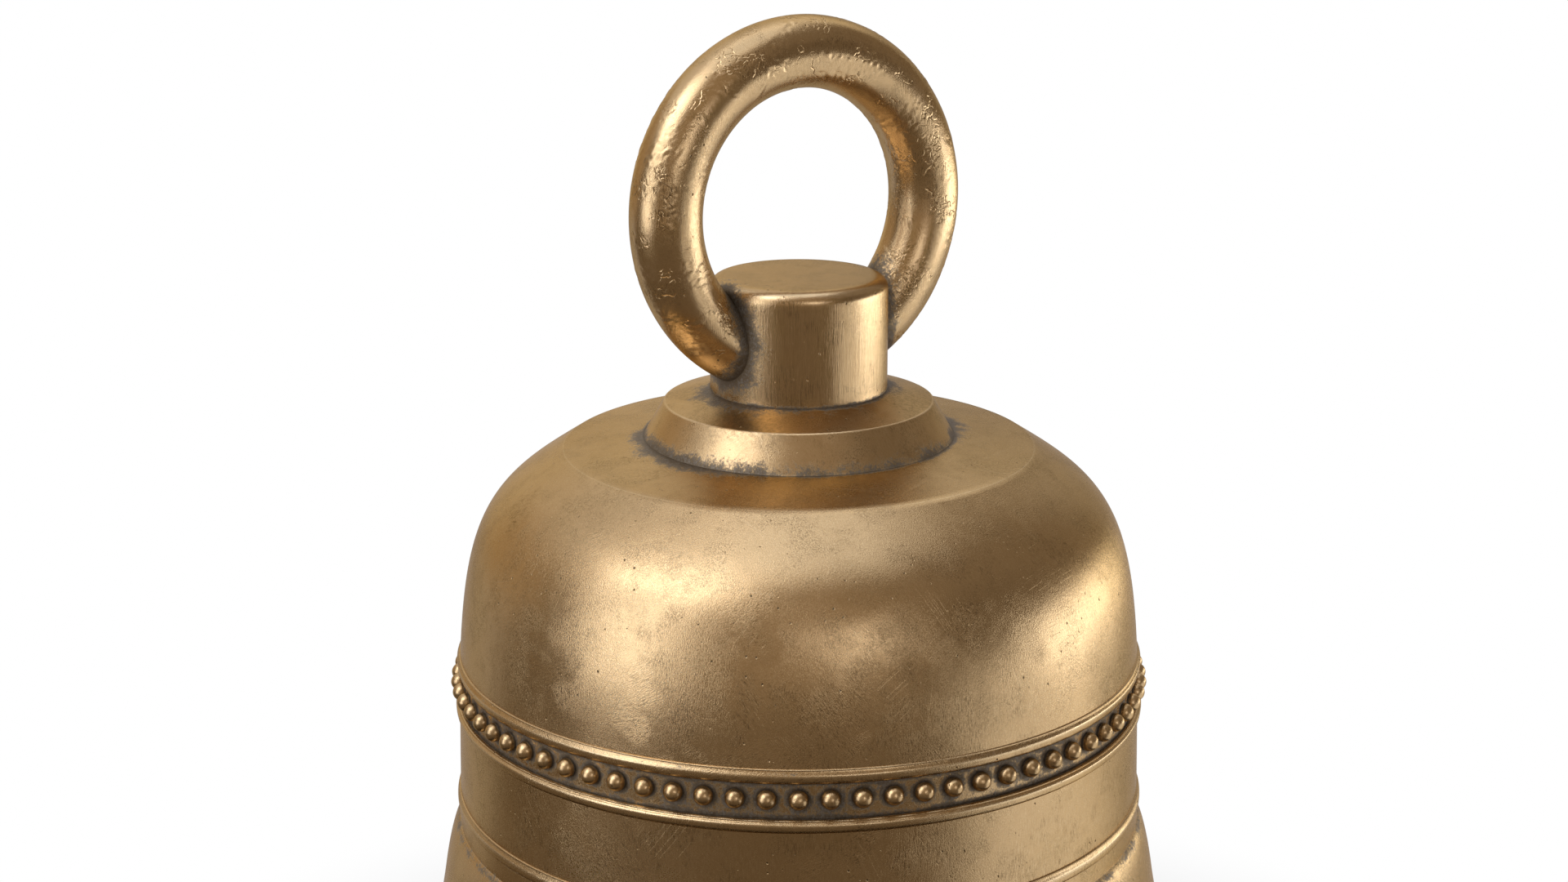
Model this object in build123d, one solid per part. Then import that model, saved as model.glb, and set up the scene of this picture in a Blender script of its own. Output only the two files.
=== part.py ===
"""Church bell hung from a closed ring, with its clapper. Millimetres, +Z up.

The origin is the centre of the mouth, on the plane of the lip. The ring stands in the XZ plane, and the
clapper swings in that plane too, about a pin that lies along Y.
"""

import math
import os

from build123d import *

os.makedirs("parts", exist_ok=True)

# ---- Casting, outside, from the lip up ----
MOUTH_RADIUS = 204.5
LIP_FLAT = 8.0
LIP_ROUND = 4.0
BOW_RADIUS = 183.5
BOW_HEIGHT = 58.0
BOW_WIRE_HEIGHT = 7.0
BOW_WIRE_STAND = 2.2
BOW_WIRE_GAP = 5.0
THIN_WIRE_HEIGHT = 4.0
THIN_WIRE_STAND = 1.3
SKIRT_HEIGHT = 171.4
BULGE_DROP = 25.1
BULGE_RADIUS = 157.1
BULGE_SLOPE = 8.8
STRIP_RADIUS = 149.6
STRIP_HEIGHT = 8.7
BAND_FOOT_RADIUS = 149.1
BAND_TOP_RADIUS = 148.2
BAND_HEIGHT = 34.9
THIRD_WIRE_HEIGHT = 6.5
THIRD_WIRE_STAND = 1.1
LOWER_WIRE_HEIGHT = 5.4
UPPER_WIRE_HEIGHT = 6.2
WIRE_STAND = 1.5
WIRE_CREST_HEIGHT = 3.4
WIRE_EDGE_HEIGHT = 0.5
WIRE_EDGE_STAND = 0.6
WIRE_COVE_DEPTH = 0.2
RECESS_RADIUS = 146.6
RECESS_HEIGHT = 14.6
SHOULDER_FOOT_RADIUS = 147.2
SHOULDER_FOOT_SLOPE = 3.9
SHOULDER_RISE = 88.6
SHOULDER_EDGE_SLOPE = 32.9
CROWN_EDGE_RADIUS = 100.7
CROWN_RISE = 4.2
SEAT_RADIUS = 66.8

# ---- Casting, inside ----
CROWN_WALL = 14.5
NECK_WALL = 10.4
WAIST_WALL = 11.0
BOW_INNER_REACH = 150.0
BOW_INNER_HEIGHT = 36.0
NECK_HEIGHT = 252.0
INNER_CROWN_RADIUS = 84.0

# ---- Row of beads in the recess ----
BEAD_COUNT = 75
BEAD_RADIUS = 3.9
BEAD_STAND = 5.0
BEAD_RISE = 8.2

# ---- Collar, boss and hanging ring ----
PAD_RADIUS = 60.0
PAD_THICKNESS = 1.2
COLLAR_BASE_RADIUS = 66.3
COLLAR_EDGE_RADIUS = 57.6
COLLAR_SIDE_HEIGHT = 15.2
COLLAR_TOP_RISE = 5.3
COLLAR_EDGE_ROUND = 1.2
BOSS_RADIUS = 37.8
BOSS_HEIGHT = 48.7
BOSS_EDGE_ROUND = 3.0
SPIGOT_RADIUS = 24.0
SPIGOT_LENGTH = 15.0
RING_RADIUS = 64.5
RING_BAR_RADIUS = 15.0
RING_SINK = 35.5

# ---- Stud, and what it clamps under the crown ----
STUD_RADIUS = 10.0
STUD_SPARE = 4.0
STUD_CHAMFER = 1.5
INNER_PAD_RADIUS = 36.0
INNER_PAD_THICKNESS = 2.0
STAPLE_THICKNESS = 8.0
STAPLE_GAP = 44.0
STAPLE_WIDTH = 48.0
STAPLE_END_RADIUS = 18.0
STAPLE_BEND_RADIUS = 4.0
STAPLE_DROP = 66.0
DOWEL_RADIUS = 2.5
DOWEL_OFFSET = 19.0
DOWEL_DEPTH = 6.0
STUD_WASHER_RADIUS = 17.5
STUD_WASHER_THICKNESS = 3.0
NUT_ACROSS_FLATS = 30.0
NUT_HEIGHT = 16.0
LOCK_NUT_HEIGHT = 10.0
NUT_CHAMFER = 1.4

# ---- Clapper's pin and what is on it ----
PIN_RADIUS = 7.0
PIN_HEAD_RADIUS = 11.0
PIN_HEAD_THICKNESS = 5.0
PIN_TAIL = 9.0
PIN_CHAMFER = 1.2
PIN_WASHER_RADIUS = 12.5
PIN_WASHER_THICKNESS = 2.0
SPLIT_PIN_RADIUS = 1.5
SPLIT_PIN_SETBACK = 2.6
SPLIT_PIN_EYE_RADIUS = 3.0
SPLIT_PIN_LEG = 8.0
SPLIT_PIN_SPREAD = 32.0
SPACER_RADIUS = 11.0

# ---- Clapper ----
CLAPPER_LENGTH = 218.0
EYE_RADIUS = 19.0
EYE_WIDTH = 24.0
EYE_ROUND = 1.5
BUSH_WALL = 3.0
BUSH_STAND = 1.0
SHANK_TOP_RADIUS = 7.5
SHANK_FOOT_RADIUS = 10.0
SHANK_RING_RADIUS = 13.5
SHANK_RING_HEIGHT = 5.0
TENON_RADIUS = 7.0
TENON_SETBACK = 3.0
BALL_RADIUS = 25.0
BALL_FLAT_RADIUS = 10.5
FLIGHT_LENGTH = 12.0
FLIGHT_TOP_RADIUS = 12.0
FLIGHT_END_RADIUS = 8.0
FLIGHT_ROUND = 2.5
CROSS_PIN_RADIUS = 1.6
CROSS_PIN_DROP = 5.0

# ---- Clearances ----
RING_CLEARANCE = 0.35
STUD_CLEARANCE = 0.5
THREAD_CLEARANCE = 0.05
SPIGOT_CLEARANCE = 0.15
PAD_CLEARANCE = 0.5
DOWEL_CLEARANCE = 0.1
FIXED_PIN_CLEARANCE = 0.06
RUNNING_CLEARANCE = 0.05
SLIP_CLEARANCE = 0.15
SIDE_CLEARANCE = 0.3

# ---- Heights and places that follow from the sizes above ----
strip_top = SKIRT_HEIGHT + STRIP_HEIGHT
band_foot = strip_top + THIRD_WIRE_HEIGHT
band_top = band_foot + BAND_HEIGHT
recess_foot = band_top + LOWER_WIRE_HEIGHT
recess_top = recess_foot + RECESS_HEIGHT
shoulder_foot = recess_top + UPPER_WIRE_HEIGHT
crown_edge = shoulder_foot + SHOULDER_RISE
crown_seat = crown_edge + CROWN_RISE
crown_underside = crown_seat - CROWN_WALL
bead_height = recess_foot + BEAD_RISE

pad_top = crown_seat + PAD_THICKNESS
collar_edge = crown_seat + COLLAR_SIDE_HEIGHT
boss_base = collar_edge + COLLAR_TOP_RISE
boss_top = boss_base + BOSS_HEIGHT
spigot_end = boss_base - SPIGOT_LENGTH
ring_height = boss_top - RING_SINK + RING_RADIUS

staple_top = crown_underside - INNER_PAD_THICKNESS
staple_web_low = staple_top - STAPLE_THICKNESS
nut_top = staple_web_low - STUD_WASHER_THICKNESS
lock_nut_top = nut_top - NUT_HEIGHT
lock_nut_low = lock_nut_top - LOCK_NUT_HEIGHT
stud_end = lock_nut_low - STUD_SPARE
stud_hole_radius = STUD_RADIUS + STUD_CLEARANCE
dowel_top = crown_underside + DOWEL_DEPTH
dowel_hole_radius = DOWEL_RADIUS + DOWEL_CLEARANCE

pivot_height = staple_top - STAPLE_DROP
cheek_inside = STAPLE_GAP / 2
cheek_outside = cheek_inside + STAPLE_THICKNESS
pin_washer_outside = cheek_outside + PIN_WASHER_THICKNESS
split_pin_y = pin_washer_outside + SPLIT_PIN_SETBACK
bush_radius = PIN_RADIUS + RUNNING_CLEARANCE + BUSH_WALL
bush_end = EYE_WIDTH / 2 + BUSH_STAND

ball_height = pivot_height - CLAPPER_LENGTH
ball_half_height = math.sqrt(BALL_RADIUS**2 - BALL_FLAT_RADIUS**2)
ball_top = ball_height + ball_half_height
ball_low = ball_height - ball_half_height
flight_low = ball_low - FLIGHT_LENGTH
tenon_end = flight_low + TENON_SETBACK
cross_pin_height = ball_low - CROSS_PIN_DROP


def at(radius, height):
    """A point on the section plane, at a radius from the bell's axis and a height above the lip."""
    return Vector(radius, 0, height)


def step(angle, length):
    """A move on the section plane, at an angle above level and outwards."""
    turn = math.radians(angle)
    return at(length * math.cos(turn), length * math.sin(turn))


def turned(edges):
    """The solid of revolution whose half section the edges enclose."""
    return revolve(make_face(Wire(edges)), axis=Axis.Z)


def straight(*points):
    """Straight edges from point to point."""
    return [Line(start, end) for start, end in zip(points, points[1:])]


def turned_polygon(*points):
    """A turned solid whose half section has only straight sides."""
    return turned(straight(*points, points[0]))


def tube(radius, bore, low, high):
    """A washer, sleeve or pad round the bell's axis."""
    return turned_polygon(at(bore, low), at(radius, low), at(radius, high), at(bore, high))


def rod_along_y(radius, start, end, height):
    """A rod along Y at a height above the lip."""
    return Pos(0, (start + end) / 2, height) * Rot(90, 0, 0) * Cylinder(radius, end - start)


def wire_round(low, high, stand):
    """The rounded outline of a raised wire between its two edges."""
    return ThreePointArc(low, (low + high) / 2 + at(stand, 0), high)


def wire_moulded(low, high, stand):
    """A moulded wire: a round crest low down, a shallow cove over it and a thin edge at the top."""
    up = (high - low).normalized()
    crest = low + up * WIRE_CREST_HEIGHT + at(stand, 0)
    edge = high - up * WIRE_EDGE_HEIGHT + at(WIRE_EDGE_STAND, 0)
    under = low + up * WIRE_CREST_HEIGHT * 0.4 + at(stand * 0.84, 0)
    cove = (crest + edge) / 2 - at(WIRE_COVE_DEPTH, 0)
    return [ThreePointArc(low, under, crest), ThreePointArc(crest, cove, edge), Line(edge, high)]


# ---- The casting: turned form, then its two holes ----
def lip_and_bow():
    """Rounded lip, sound bow, and the thick and thin wires above it. Ends at the foot of the waist."""
    flat_end = at(MOUTH_RADIUS - LIP_ROUND, 0)
    lip_side = at(MOUTH_RADIUS, LIP_ROUND)
    bow_top = at(BOW_RADIUS, BOW_HEIGHT)
    wire_top = bow_top + step(112, BOW_WIRE_HEIGHT)
    thin_low = wire_top + step(111, BOW_WIRE_GAP)
    thin_top = thin_low + step(110, THIN_WIRE_HEIGHT)
    bow_run = BOW_HEIGHT - LIP_ROUND
    bow_pull = bow_top + step(-61, bow_run * 0.36)
    edges = [
        TangentArc(flat_end, lip_side, tangent=(1, 0, 0)),
        Bezier(lip_side, lip_side + step(101, bow_run * 0.32), bow_pull, bow_top),
        wire_round(bow_top, wire_top, BOW_WIRE_STAND),
        Line(wire_top, thin_low),
        wire_round(thin_low, thin_top, THIN_WIRE_STAND),
    ]
    return edges, thin_top


def waist_and_bulge(foot):
    """The flared waist and the round step by which it swells out below the strip."""
    bulge = at(BULGE_RADIUS, SKIRT_HEIGHT - BULGE_DROP)
    crease = at(STRIP_RADIUS, SKIRT_HEIGHT)
    run = bulge.Z - foot.Z
    up = 90 + BULGE_SLOPE
    return [
        Bezier(foot, foot + step(109, run * 0.4), bulge + step(up - 180, run * 0.4), bulge),
        Bezier(bulge, bulge + step(up, BULGE_DROP * 0.5), crease + step(-40, BULGE_DROP * 0.15), crease),
    ]


def bands():
    """Strip, third wire, plain band, lower wire, recess for the beads, upper wire."""
    crease = at(STRIP_RADIUS, SKIRT_HEIGHT)
    strip_end = at(STRIP_RADIUS, strip_top)
    band_low = at(BAND_FOOT_RADIUS, band_foot)
    band_high = at(BAND_TOP_RADIUS, band_top)
    lower_wire_top = at(BAND_TOP_RADIUS, recess_foot)
    upper_wire_low = at(SHOULDER_FOOT_RADIUS, recess_top)
    upper_wire_top = at(SHOULDER_FOOT_RADIUS, shoulder_foot)
    return [
        Line(crease, strip_end),
        *wire_moulded(strip_end, band_low, THIRD_WIRE_STAND),
        Line(band_low, band_high),
        *wire_moulded(band_high, lower_wire_top, WIRE_STAND),
        *straight(
            lower_wire_top,
            at(RECESS_RADIUS, recess_foot),
            at(RECESS_RADIUS, recess_top),
            upper_wire_low,
        ),
        *wire_moulded(upper_wire_low, upper_wire_top, WIRE_STAND),
    ]


def shoulder_and_crown():
    """The domed shoulder up to the edge of the crown disc, and the disc up to the collar's seat."""
    foot = at(SHOULDER_FOOT_RADIUS, shoulder_foot)
    edge = at(CROWN_EDGE_RADIUS, crown_edge)
    lower_pull = foot + step(90 + SHOULDER_FOOT_SLOPE, SHOULDER_RISE * 0.725)
    upper_pull = edge + step(-SHOULDER_EDGE_SLOPE, SHOULDER_RISE * 0.4)
    return [Bezier(foot, lower_pull, upper_pull, edge), Line(edge, at(SEAT_RADIUS, crown_seat))]


def inside():
    """From the axis over the crown's seat and underside, down the inner wall to the lip's flat."""
    crown_corner = at(INNER_CROWN_RADIUS, crown_underside)
    neck = at(SHOULDER_FOOT_RADIUS - NECK_WALL, NECK_HEIGHT)
    waist = at(BULGE_RADIUS - WAIST_WALL, SKIRT_HEIGHT - BULGE_DROP)
    lip_inside = at(MOUTH_RADIUS - LIP_ROUND - LIP_FLAT, 0)
    crown_drop = crown_underside - NECK_HEIGHT
    bow_pull = at(BOW_INNER_REACH, BOW_INNER_HEIGHT)
    waist_pull = waist + step(BULGE_SLOPE - 90, waist.Z * 0.3)
    neck_pull = neck + step(94, crown_drop * 0.55)
    seat_and_hole = straight(
        at(SEAT_RADIUS, crown_seat),
        at(stud_hole_radius, crown_seat),
        at(stud_hole_radius, crown_underside),
        crown_corner,
    )
    return seat_and_hole + [
        Bezier(crown_corner, crown_corner + at(crown_drop * 0.5, 0), neck_pull, neck),
        Line(neck, waist),
        Bezier(waist, waist_pull, bow_pull, lip_inside),
        Line(lip_inside, at(MOUTH_RADIUS - LIP_ROUND, 0)),
    ]


bow_edges, waist_foot = lip_and_bow()
casting_section = bow_edges + waist_and_bulge(waist_foot) + bands() + shoulder_and_crown() + inside()
dowel_hole = Pos(DOWEL_OFFSET, 0, crown_underside) * Cylinder(dowel_hole_radius, 2 * DOWEL_DEPTH)
bell_casting = turned(casting_section) - dowel_hole


# ---- Beads: half-round, each seated on the floor of the recess ----
def bead():
    """One bead on +X: a ball cut flat where it meets the floor of the recess."""
    centre = RECESS_RADIUS + BEAD_STAND - BEAD_RADIUS
    ball = Pos(centre, 0, bead_height) * Rot(0, 90, 0) * Sphere(BEAD_RADIUS)
    behind = Pos(RECESS_RADIUS - BEAD_RADIUS, 0, bead_height) * Box(*[2 * BEAD_RADIUS] * 3)
    return ball - behind


first_bead = Rot(0, 0, -90) * bead()
bead_row = Compound([Rot(0, 0, 360 * k / BEAD_COUNT) * first_bead for k in range(BEAD_COUNT)])

# ---- Collar with the pad let into its underside, and the boss that clamps both ----
crown_pad = tube(PAD_RADIUS, stud_hole_radius, crown_seat, pad_top)

spigot_bore = SPIGOT_RADIUS + SPIGOT_CLEARANCE
spigot_floor = spigot_end - SPIGOT_CLEARANCE
collar_edge_point = at(COLLAR_EDGE_RADIUS, collar_edge)
pad_recess = PAD_RADIUS + PAD_CLEARANCE
collar = turned_polygon(
    at(stud_hole_radius, pad_top),
    at(pad_recess, pad_top),
    at(pad_recess, crown_seat),
    at(COLLAR_BASE_RADIUS, crown_seat),
    collar_edge_point,
    at(BOSS_RADIUS, boss_base),
    at(spigot_bore, boss_base),
    at(spigot_bore, spigot_floor),
    at(stud_hole_radius, spigot_floor),
)
collar_circles = collar.edges().filter_by(GeomType.CIRCLE)
collar_rim = collar_circles.filter_by(lambda edge: abs(edge.radius - COLLAR_EDGE_RADIUS) < 0.01)
crown_collar = fillet(collar_rim, COLLAR_EDGE_ROUND)


def ring(bar_radius):
    """The closed ring, standing upright in the XZ plane."""
    return Pos(0, 0, ring_height) * Rot(90, 0, 0) * Torus(RING_RADIUS, bar_radius)


boss_blank = turned_polygon(
    at(0, boss_top),
    at(BOSS_RADIUS, boss_top),
    at(BOSS_RADIUS, boss_base),
    at(SPIGOT_RADIUS, boss_base),
    at(SPIGOT_RADIUS, spigot_end),
    at(STUD_RADIUS, spigot_end),
    at(STUD_RADIUS, stud_end + STUD_CHAMFER),
    at(STUD_RADIUS - STUD_CHAMFER, stud_end),
    at(0, stud_end),
)
boss_rim = boss_blank.edges().filter_by(GeomType.CIRCLE).sort_by(Axis.Z)[-1]
crown_boss = fillet(boss_rim, BOSS_EDGE_ROUND) - ring(RING_BAR_RADIUS + RING_CLEARANCE)
hanging_ring = ring(RING_BAR_RADIUS)

# ---- Inner pad, staple, dowel, washer and nuts ----
inner_pad = tube(INNER_PAD_RADIUS, stud_hole_radius, staple_top, crown_underside)
inner_pad -= Pos(DOWEL_OFFSET, 0, staple_top) * Cylinder(dowel_hole_radius, 3 * INNER_PAD_THICKNESS)


def staple():
    """A fork bent from flat bar: a web under the crown, and two cheeks that narrow to the pin."""
    depth = STAPLE_DROP + STAPLE_END_RADIUS
    middle = staple_top - depth / 2
    outer = Pos(0, 0, middle) * Box(STAPLE_WIDTH, 2 * cheek_outside, depth)
    inner = Pos(0, 0, middle - STAPLE_THICKNESS) * Box(STAPLE_WIDTH, STAPLE_GAP, depth)
    along_x = outer.edges().filter_by(Axis.X).group_by(Axis.Z)[-1]
    outer = fillet(along_x, STAPLE_BEND_RADIUS + STAPLE_THICKNESS)
    inner = fillet(inner.edges().filter_by(Axis.X).group_by(Axis.Z)[-1], STAPLE_BEND_RADIUS)
    pin_end = Pos(0, pivot_height) * Circle(STAPLE_END_RADIUS)
    web_end = Pos(0, staple_top - STAPLE_THICKNESS) * Rectangle(STAPLE_WIDTH, 2 * STAPLE_THICKNESS)
    cheek = Plane.XZ * make_hull(pin_end.edges() + web_end.edges())
    fork = (outer - inner) & extrude(cheek, amount=cheek_outside, both=True)
    fork -= Pos(0, 0, staple_top) * Cylinder(stud_hole_radius, 3 * STAPLE_THICKNESS)
    fork -= Pos(DOWEL_OFFSET, 0, staple_top) * Cylinder(dowel_hole_radius, 3 * STAPLE_THICKNESS)
    pin_hole_radius = PIN_RADIUS + FIXED_PIN_CLEARANCE
    return fork - rod_along_y(pin_hole_radius, -2 * cheek_outside, 2 * cheek_outside, pivot_height)


clapper_staple = staple()
staple_dowel = Pos(DOWEL_OFFSET, 0, (dowel_top + staple_web_low) / 2) * Cylinder(
    DOWEL_RADIUS, dowel_top - staple_web_low
)
stud_washer = tube(STUD_WASHER_RADIUS, stud_hole_radius, nut_top, staple_web_low)


def hexagon_nut(low, high):
    """A six-sided nut with its corners chamfered, bored for the stud."""
    corner_radius = NUT_ACROSS_FLATS / 2 / math.cos(math.radians(30))
    prism = Pos(0, 0, low) * extrude(RegularPolygon(corner_radius, 6), high - low)
    rim = corner_radius - NUT_CHAMFER * math.sqrt(3)
    bore = STUD_RADIUS + THREAD_CLEARANCE
    envelope = turned_polygon(
        at(bore, low),
        at(rim, low),
        at(corner_radius, low + NUT_CHAMFER),
        at(corner_radius, high - NUT_CHAMFER),
        at(rim, high),
        at(bore, high),
    )
    return prism & envelope


crown_nut = hexagon_nut(lock_nut_top, nut_top)
lock_nut = hexagon_nut(lock_nut_low, lock_nut_top)

# ---- Pivot pin with its washers, spacers and split pin ----
pin_start = -pin_washer_outside
pin_end = pin_washer_outside + PIN_TAIL
pivot_pin = rod_along_y(PIN_RADIUS, pin_start, pin_end, pivot_height)
pivot_pin = chamfer(pivot_pin.edges().filter_by(GeomType.CIRCLE).sort_by(Axis.Y)[-1], PIN_CHAMFER)
pin_head = rod_along_y(PIN_HEAD_RADIUS, pin_start - PIN_HEAD_THICKNESS, pin_start, pivot_height)
pivot_pin += chamfer(pin_head.edges().filter_by(GeomType.CIRCLE).sort_by(Axis.Y)[0], PIN_CHAMFER)
pivot_pin -= Pos(0, split_pin_y, pivot_height) * Cylinder(SPLIT_PIN_RADIUS + SLIP_CLEARANCE, 4 * PIN_RADIUS)


def collar_on_pin(radius, start, end):
    """A washer or sleeve on the pivot pin, between two values of Y."""
    bore = rod_along_y(PIN_RADIUS + SLIP_CLEARANCE, start, end, pivot_height)
    return rod_along_y(radius, start, end, pivot_height) - bore


def both_sides(radius, start, end):
    """The same washer or sleeve on each side of the clapper."""
    return Compound([collar_on_pin(radius, start, end), collar_on_pin(radius, -end, -start)])


pin_washers = both_sides(PIN_WASHER_RADIUS, cheek_outside, pin_washer_outside)
pin_spacers = both_sides(SPACER_RADIUS, bush_end + SIDE_CLEARANCE, cheek_inside)


def make_split_pin():
    """An eye above the pin, a shank through it, and two legs bent apart below it."""
    reach = PIN_RADIUS + SPLIT_PIN_RADIUS
    eye_height = reach + SPLIT_PIN_EYE_RADIUS
    eye = Pos(0, 0, eye_height) * Rot(90, 0, 0) * Torus(SPLIT_PIN_EYE_RADIUS, SPLIT_PIN_RADIUS)
    shape = eye + Cylinder(SPLIT_PIN_RADIUS, 2 * reach)
    for side in (-1, 1):
        leg = Pos(0, 0, -SPLIT_PIN_LEG / 2) * Cylinder(SPLIT_PIN_RADIUS, SPLIT_PIN_LEG)
        shape += Pos(0, 0, -reach) * Rot(0, side * SPLIT_PIN_SPREAD, 0) * leg
    return Pos(0, split_pin_y, pivot_height) * (shape + Pos(0, 0, -reach) * Sphere(SPLIT_PIN_RADIUS))


split_pin = make_split_pin()

# ---- Clapper: bushed shank, ball, flight and cross pin ----
bush_blank = rod_along_y(bush_radius, -bush_end, bush_end, pivot_height)
clapper_bush = bush_blank - rod_along_y(PIN_RADIUS + RUNNING_CLEARANCE, -bush_end, bush_end, pivot_height)

eye = rod_along_y(EYE_RADIUS, -EYE_WIDTH / 2, EYE_WIDTH / 2, pivot_height)
eye = fillet(eye.edges().filter_by(GeomType.CIRCLE), EYE_ROUND)
rod_top = pivot_height - (bush_radius + EYE_RADIUS) / 2
rod = turned_polygon(
    at(0, rod_top),
    at(SHANK_TOP_RADIUS, rod_top),
    at(SHANK_FOOT_RADIUS, ball_top + SHANK_RING_HEIGHT),
    at(SHANK_RING_RADIUS, ball_top + SHANK_RING_HEIGHT),
    at(SHANK_RING_RADIUS, ball_top),
    at(TENON_RADIUS, ball_top),
    at(TENON_RADIUS, tenon_end),
    at(0, tenon_end),
)
tenon_hole = TENON_RADIUS + THREAD_CLEARANCE
cross_hole = rod_along_y(
    CROSS_PIN_RADIUS + THREAD_CLEARANCE, -FLIGHT_TOP_RADIUS, FLIGHT_TOP_RADIUS, cross_pin_height
)
clapper_shank = eye + rod - rod_along_y(bush_radius, -EYE_WIDTH, EYE_WIDTH, pivot_height) - cross_hole

clapper_ball = turned(
    [
        Line(at(tenon_hole, ball_low), at(BALL_FLAT_RADIUS, ball_low)),
        ThreePointArc(
            at(BALL_FLAT_RADIUS, ball_low),
            at(BALL_RADIUS, ball_height),
            at(BALL_FLAT_RADIUS, ball_top),
        ),
        *straight(at(BALL_FLAT_RADIUS, ball_top), at(tenon_hole, ball_top), at(tenon_hole, ball_low)),
    ]
)

flight_blank = turned_polygon(
    at(0, flight_low),
    at(FLIGHT_END_RADIUS, flight_low),
    at(FLIGHT_TOP_RADIUS, ball_low),
    at(tenon_hole, ball_low),
    at(tenon_hole, tenon_end),
    at(0, tenon_end),
)
flight_rim = flight_blank.edges().filter_by(GeomType.CIRCLE).sort_by(Axis.Z)[0]
clapper_flight = fillet(flight_rim, FLIGHT_ROUND) - cross_hole
cross_pin_reach = (FLIGHT_TOP_RADIUS + FLIGHT_END_RADIUS) / 2
flight_pin = rod_along_y(CROSS_PIN_RADIUS, -cross_pin_reach, cross_pin_reach, cross_pin_height)

pieces = {
    "bell_casting": bell_casting,
    "bead_row": bead_row,
    "crown_pad": crown_pad,
    "crown_collar": crown_collar,
    "crown_boss": crown_boss,
    "hanging_ring": hanging_ring,
    "inner_pad": inner_pad,
    "clapper_staple": clapper_staple,
    "staple_dowel": staple_dowel,
    "stud_washer": stud_washer,
    "crown_nut": crown_nut,
    "lock_nut": lock_nut,
    "pivot_pin": pivot_pin,
    "pin_washers": pin_washers,
    "pin_spacers": pin_spacers,
    "split_pin": split_pin,
    "clapper_bush": clapper_bush,
    "clapper_shank": clapper_shank,
    "clapper_ball": clapper_ball,
    "clapper_flight": clapper_flight,
    "flight_pin": flight_pin,
}

for name, piece in pieces.items():
    export_step(piece, f"parts/{name}.step")
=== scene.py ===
# %% [markdown]
# # A bronze church bell
#
# The bell stands on its lip, with a closed ring at the top and a clapper inside.
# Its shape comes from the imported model, which is loaded first and never moved.
# The pieces are drawn in millimetres and turned into metres with MM. The studio, and the places that a
# finish asks for on the bell, are in metres from the start.

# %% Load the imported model
import math

import bpy
import numpy as np
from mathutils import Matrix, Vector, noise


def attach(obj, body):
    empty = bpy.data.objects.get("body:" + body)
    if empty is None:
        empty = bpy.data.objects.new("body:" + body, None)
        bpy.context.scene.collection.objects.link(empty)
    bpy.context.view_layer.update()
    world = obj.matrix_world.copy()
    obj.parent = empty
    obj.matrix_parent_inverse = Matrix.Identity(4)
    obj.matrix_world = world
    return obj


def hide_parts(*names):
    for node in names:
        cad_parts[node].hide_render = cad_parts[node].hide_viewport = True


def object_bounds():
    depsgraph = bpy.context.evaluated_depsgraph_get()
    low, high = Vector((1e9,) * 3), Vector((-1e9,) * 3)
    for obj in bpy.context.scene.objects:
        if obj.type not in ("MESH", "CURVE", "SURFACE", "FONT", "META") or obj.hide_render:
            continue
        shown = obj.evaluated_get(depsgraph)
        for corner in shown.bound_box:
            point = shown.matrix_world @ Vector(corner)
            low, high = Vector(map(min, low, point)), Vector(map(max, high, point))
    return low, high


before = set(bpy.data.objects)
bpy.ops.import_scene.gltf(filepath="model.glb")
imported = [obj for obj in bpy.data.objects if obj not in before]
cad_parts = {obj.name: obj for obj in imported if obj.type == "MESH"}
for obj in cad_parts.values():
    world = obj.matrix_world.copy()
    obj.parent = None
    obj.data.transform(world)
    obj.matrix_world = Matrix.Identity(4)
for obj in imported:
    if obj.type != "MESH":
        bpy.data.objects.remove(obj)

MM = 0.001
cad_low, cad_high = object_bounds()
cad_size = (cad_high - cad_low) / MM
print("bell is", round(cad_size.z), "mm high and", round(cad_size.x), "mm wide")

# %% [markdown]
# ## Where the viewer stands
#
# A long lens from a little above the ring shows the dome, the ring's eye and the row of beads at once.
# The camera's place is given as a turn round the bell, a level distance and a height, because those are
# the three numbers that can be paced out in a room. Lamps and cloths use the same turn later on.

# %% Camera
VIEW_TURN = math.radians(-33.6)
VIEW_DISTANCE = 1.028
VIEW_HEIGHT = 0.6225
VIEW_TILT = math.radians(15.53)
SENSOR_WIDTH, LENS, LENS_SHIFT = 36, 57.1, -0.0094

to_viewer = Vector((math.sin(VIEW_TURN), -math.cos(VIEW_TURN), 0))
viewer_right = Vector((math.cos(VIEW_TURN), math.sin(VIEW_TURN), 0))
UP = Vector((0, 0, 1))

camera = bpy.data.objects.new("camera", bpy.data.cameras.new("camera"))
bpy.context.collection.objects.link(camera)
camera.location = to_viewer * VIEW_DISTANCE + UP * VIEW_HEIGHT
gaze = -to_viewer * math.cos(VIEW_TILT) - UP * math.sin(VIEW_TILT)
camera.rotation_euler = gaze.to_track_quat("-Z", "Y").to_euler()
camera.data.sensor_width = SENSOR_WIDTH
camera.data.lens = LENS
camera.data.shift_x = LENS_SHIFT
bpy.context.scene.camera = camera
bpy.context.scene.view_settings.view_transform = "Standard"
print("camera stands at", [round(v, 3) for v in camera.location])


# %% [markdown]
# ## Lamps
#
# Polished metal shows its surroundings more than its own colour, so the lamps are shapes first and
# light second. Three soft boxes stand over each other at the left: the high one lights the dome, the middle
# one carries the highlight down the band and the low one carries it down the waist. A small lamp in front of
# the high one gives it a brighter heart. A round lamp in front leaves the small bright patch, another hangs
# overhead, and a long low panel at the right draws the bright edge there. Each lamp is given by its
# direction from the bell and by how bright its face looks.

# %% Lamp helper
LAMP_AIM = Vector((0, 0, 0.25))


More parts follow.
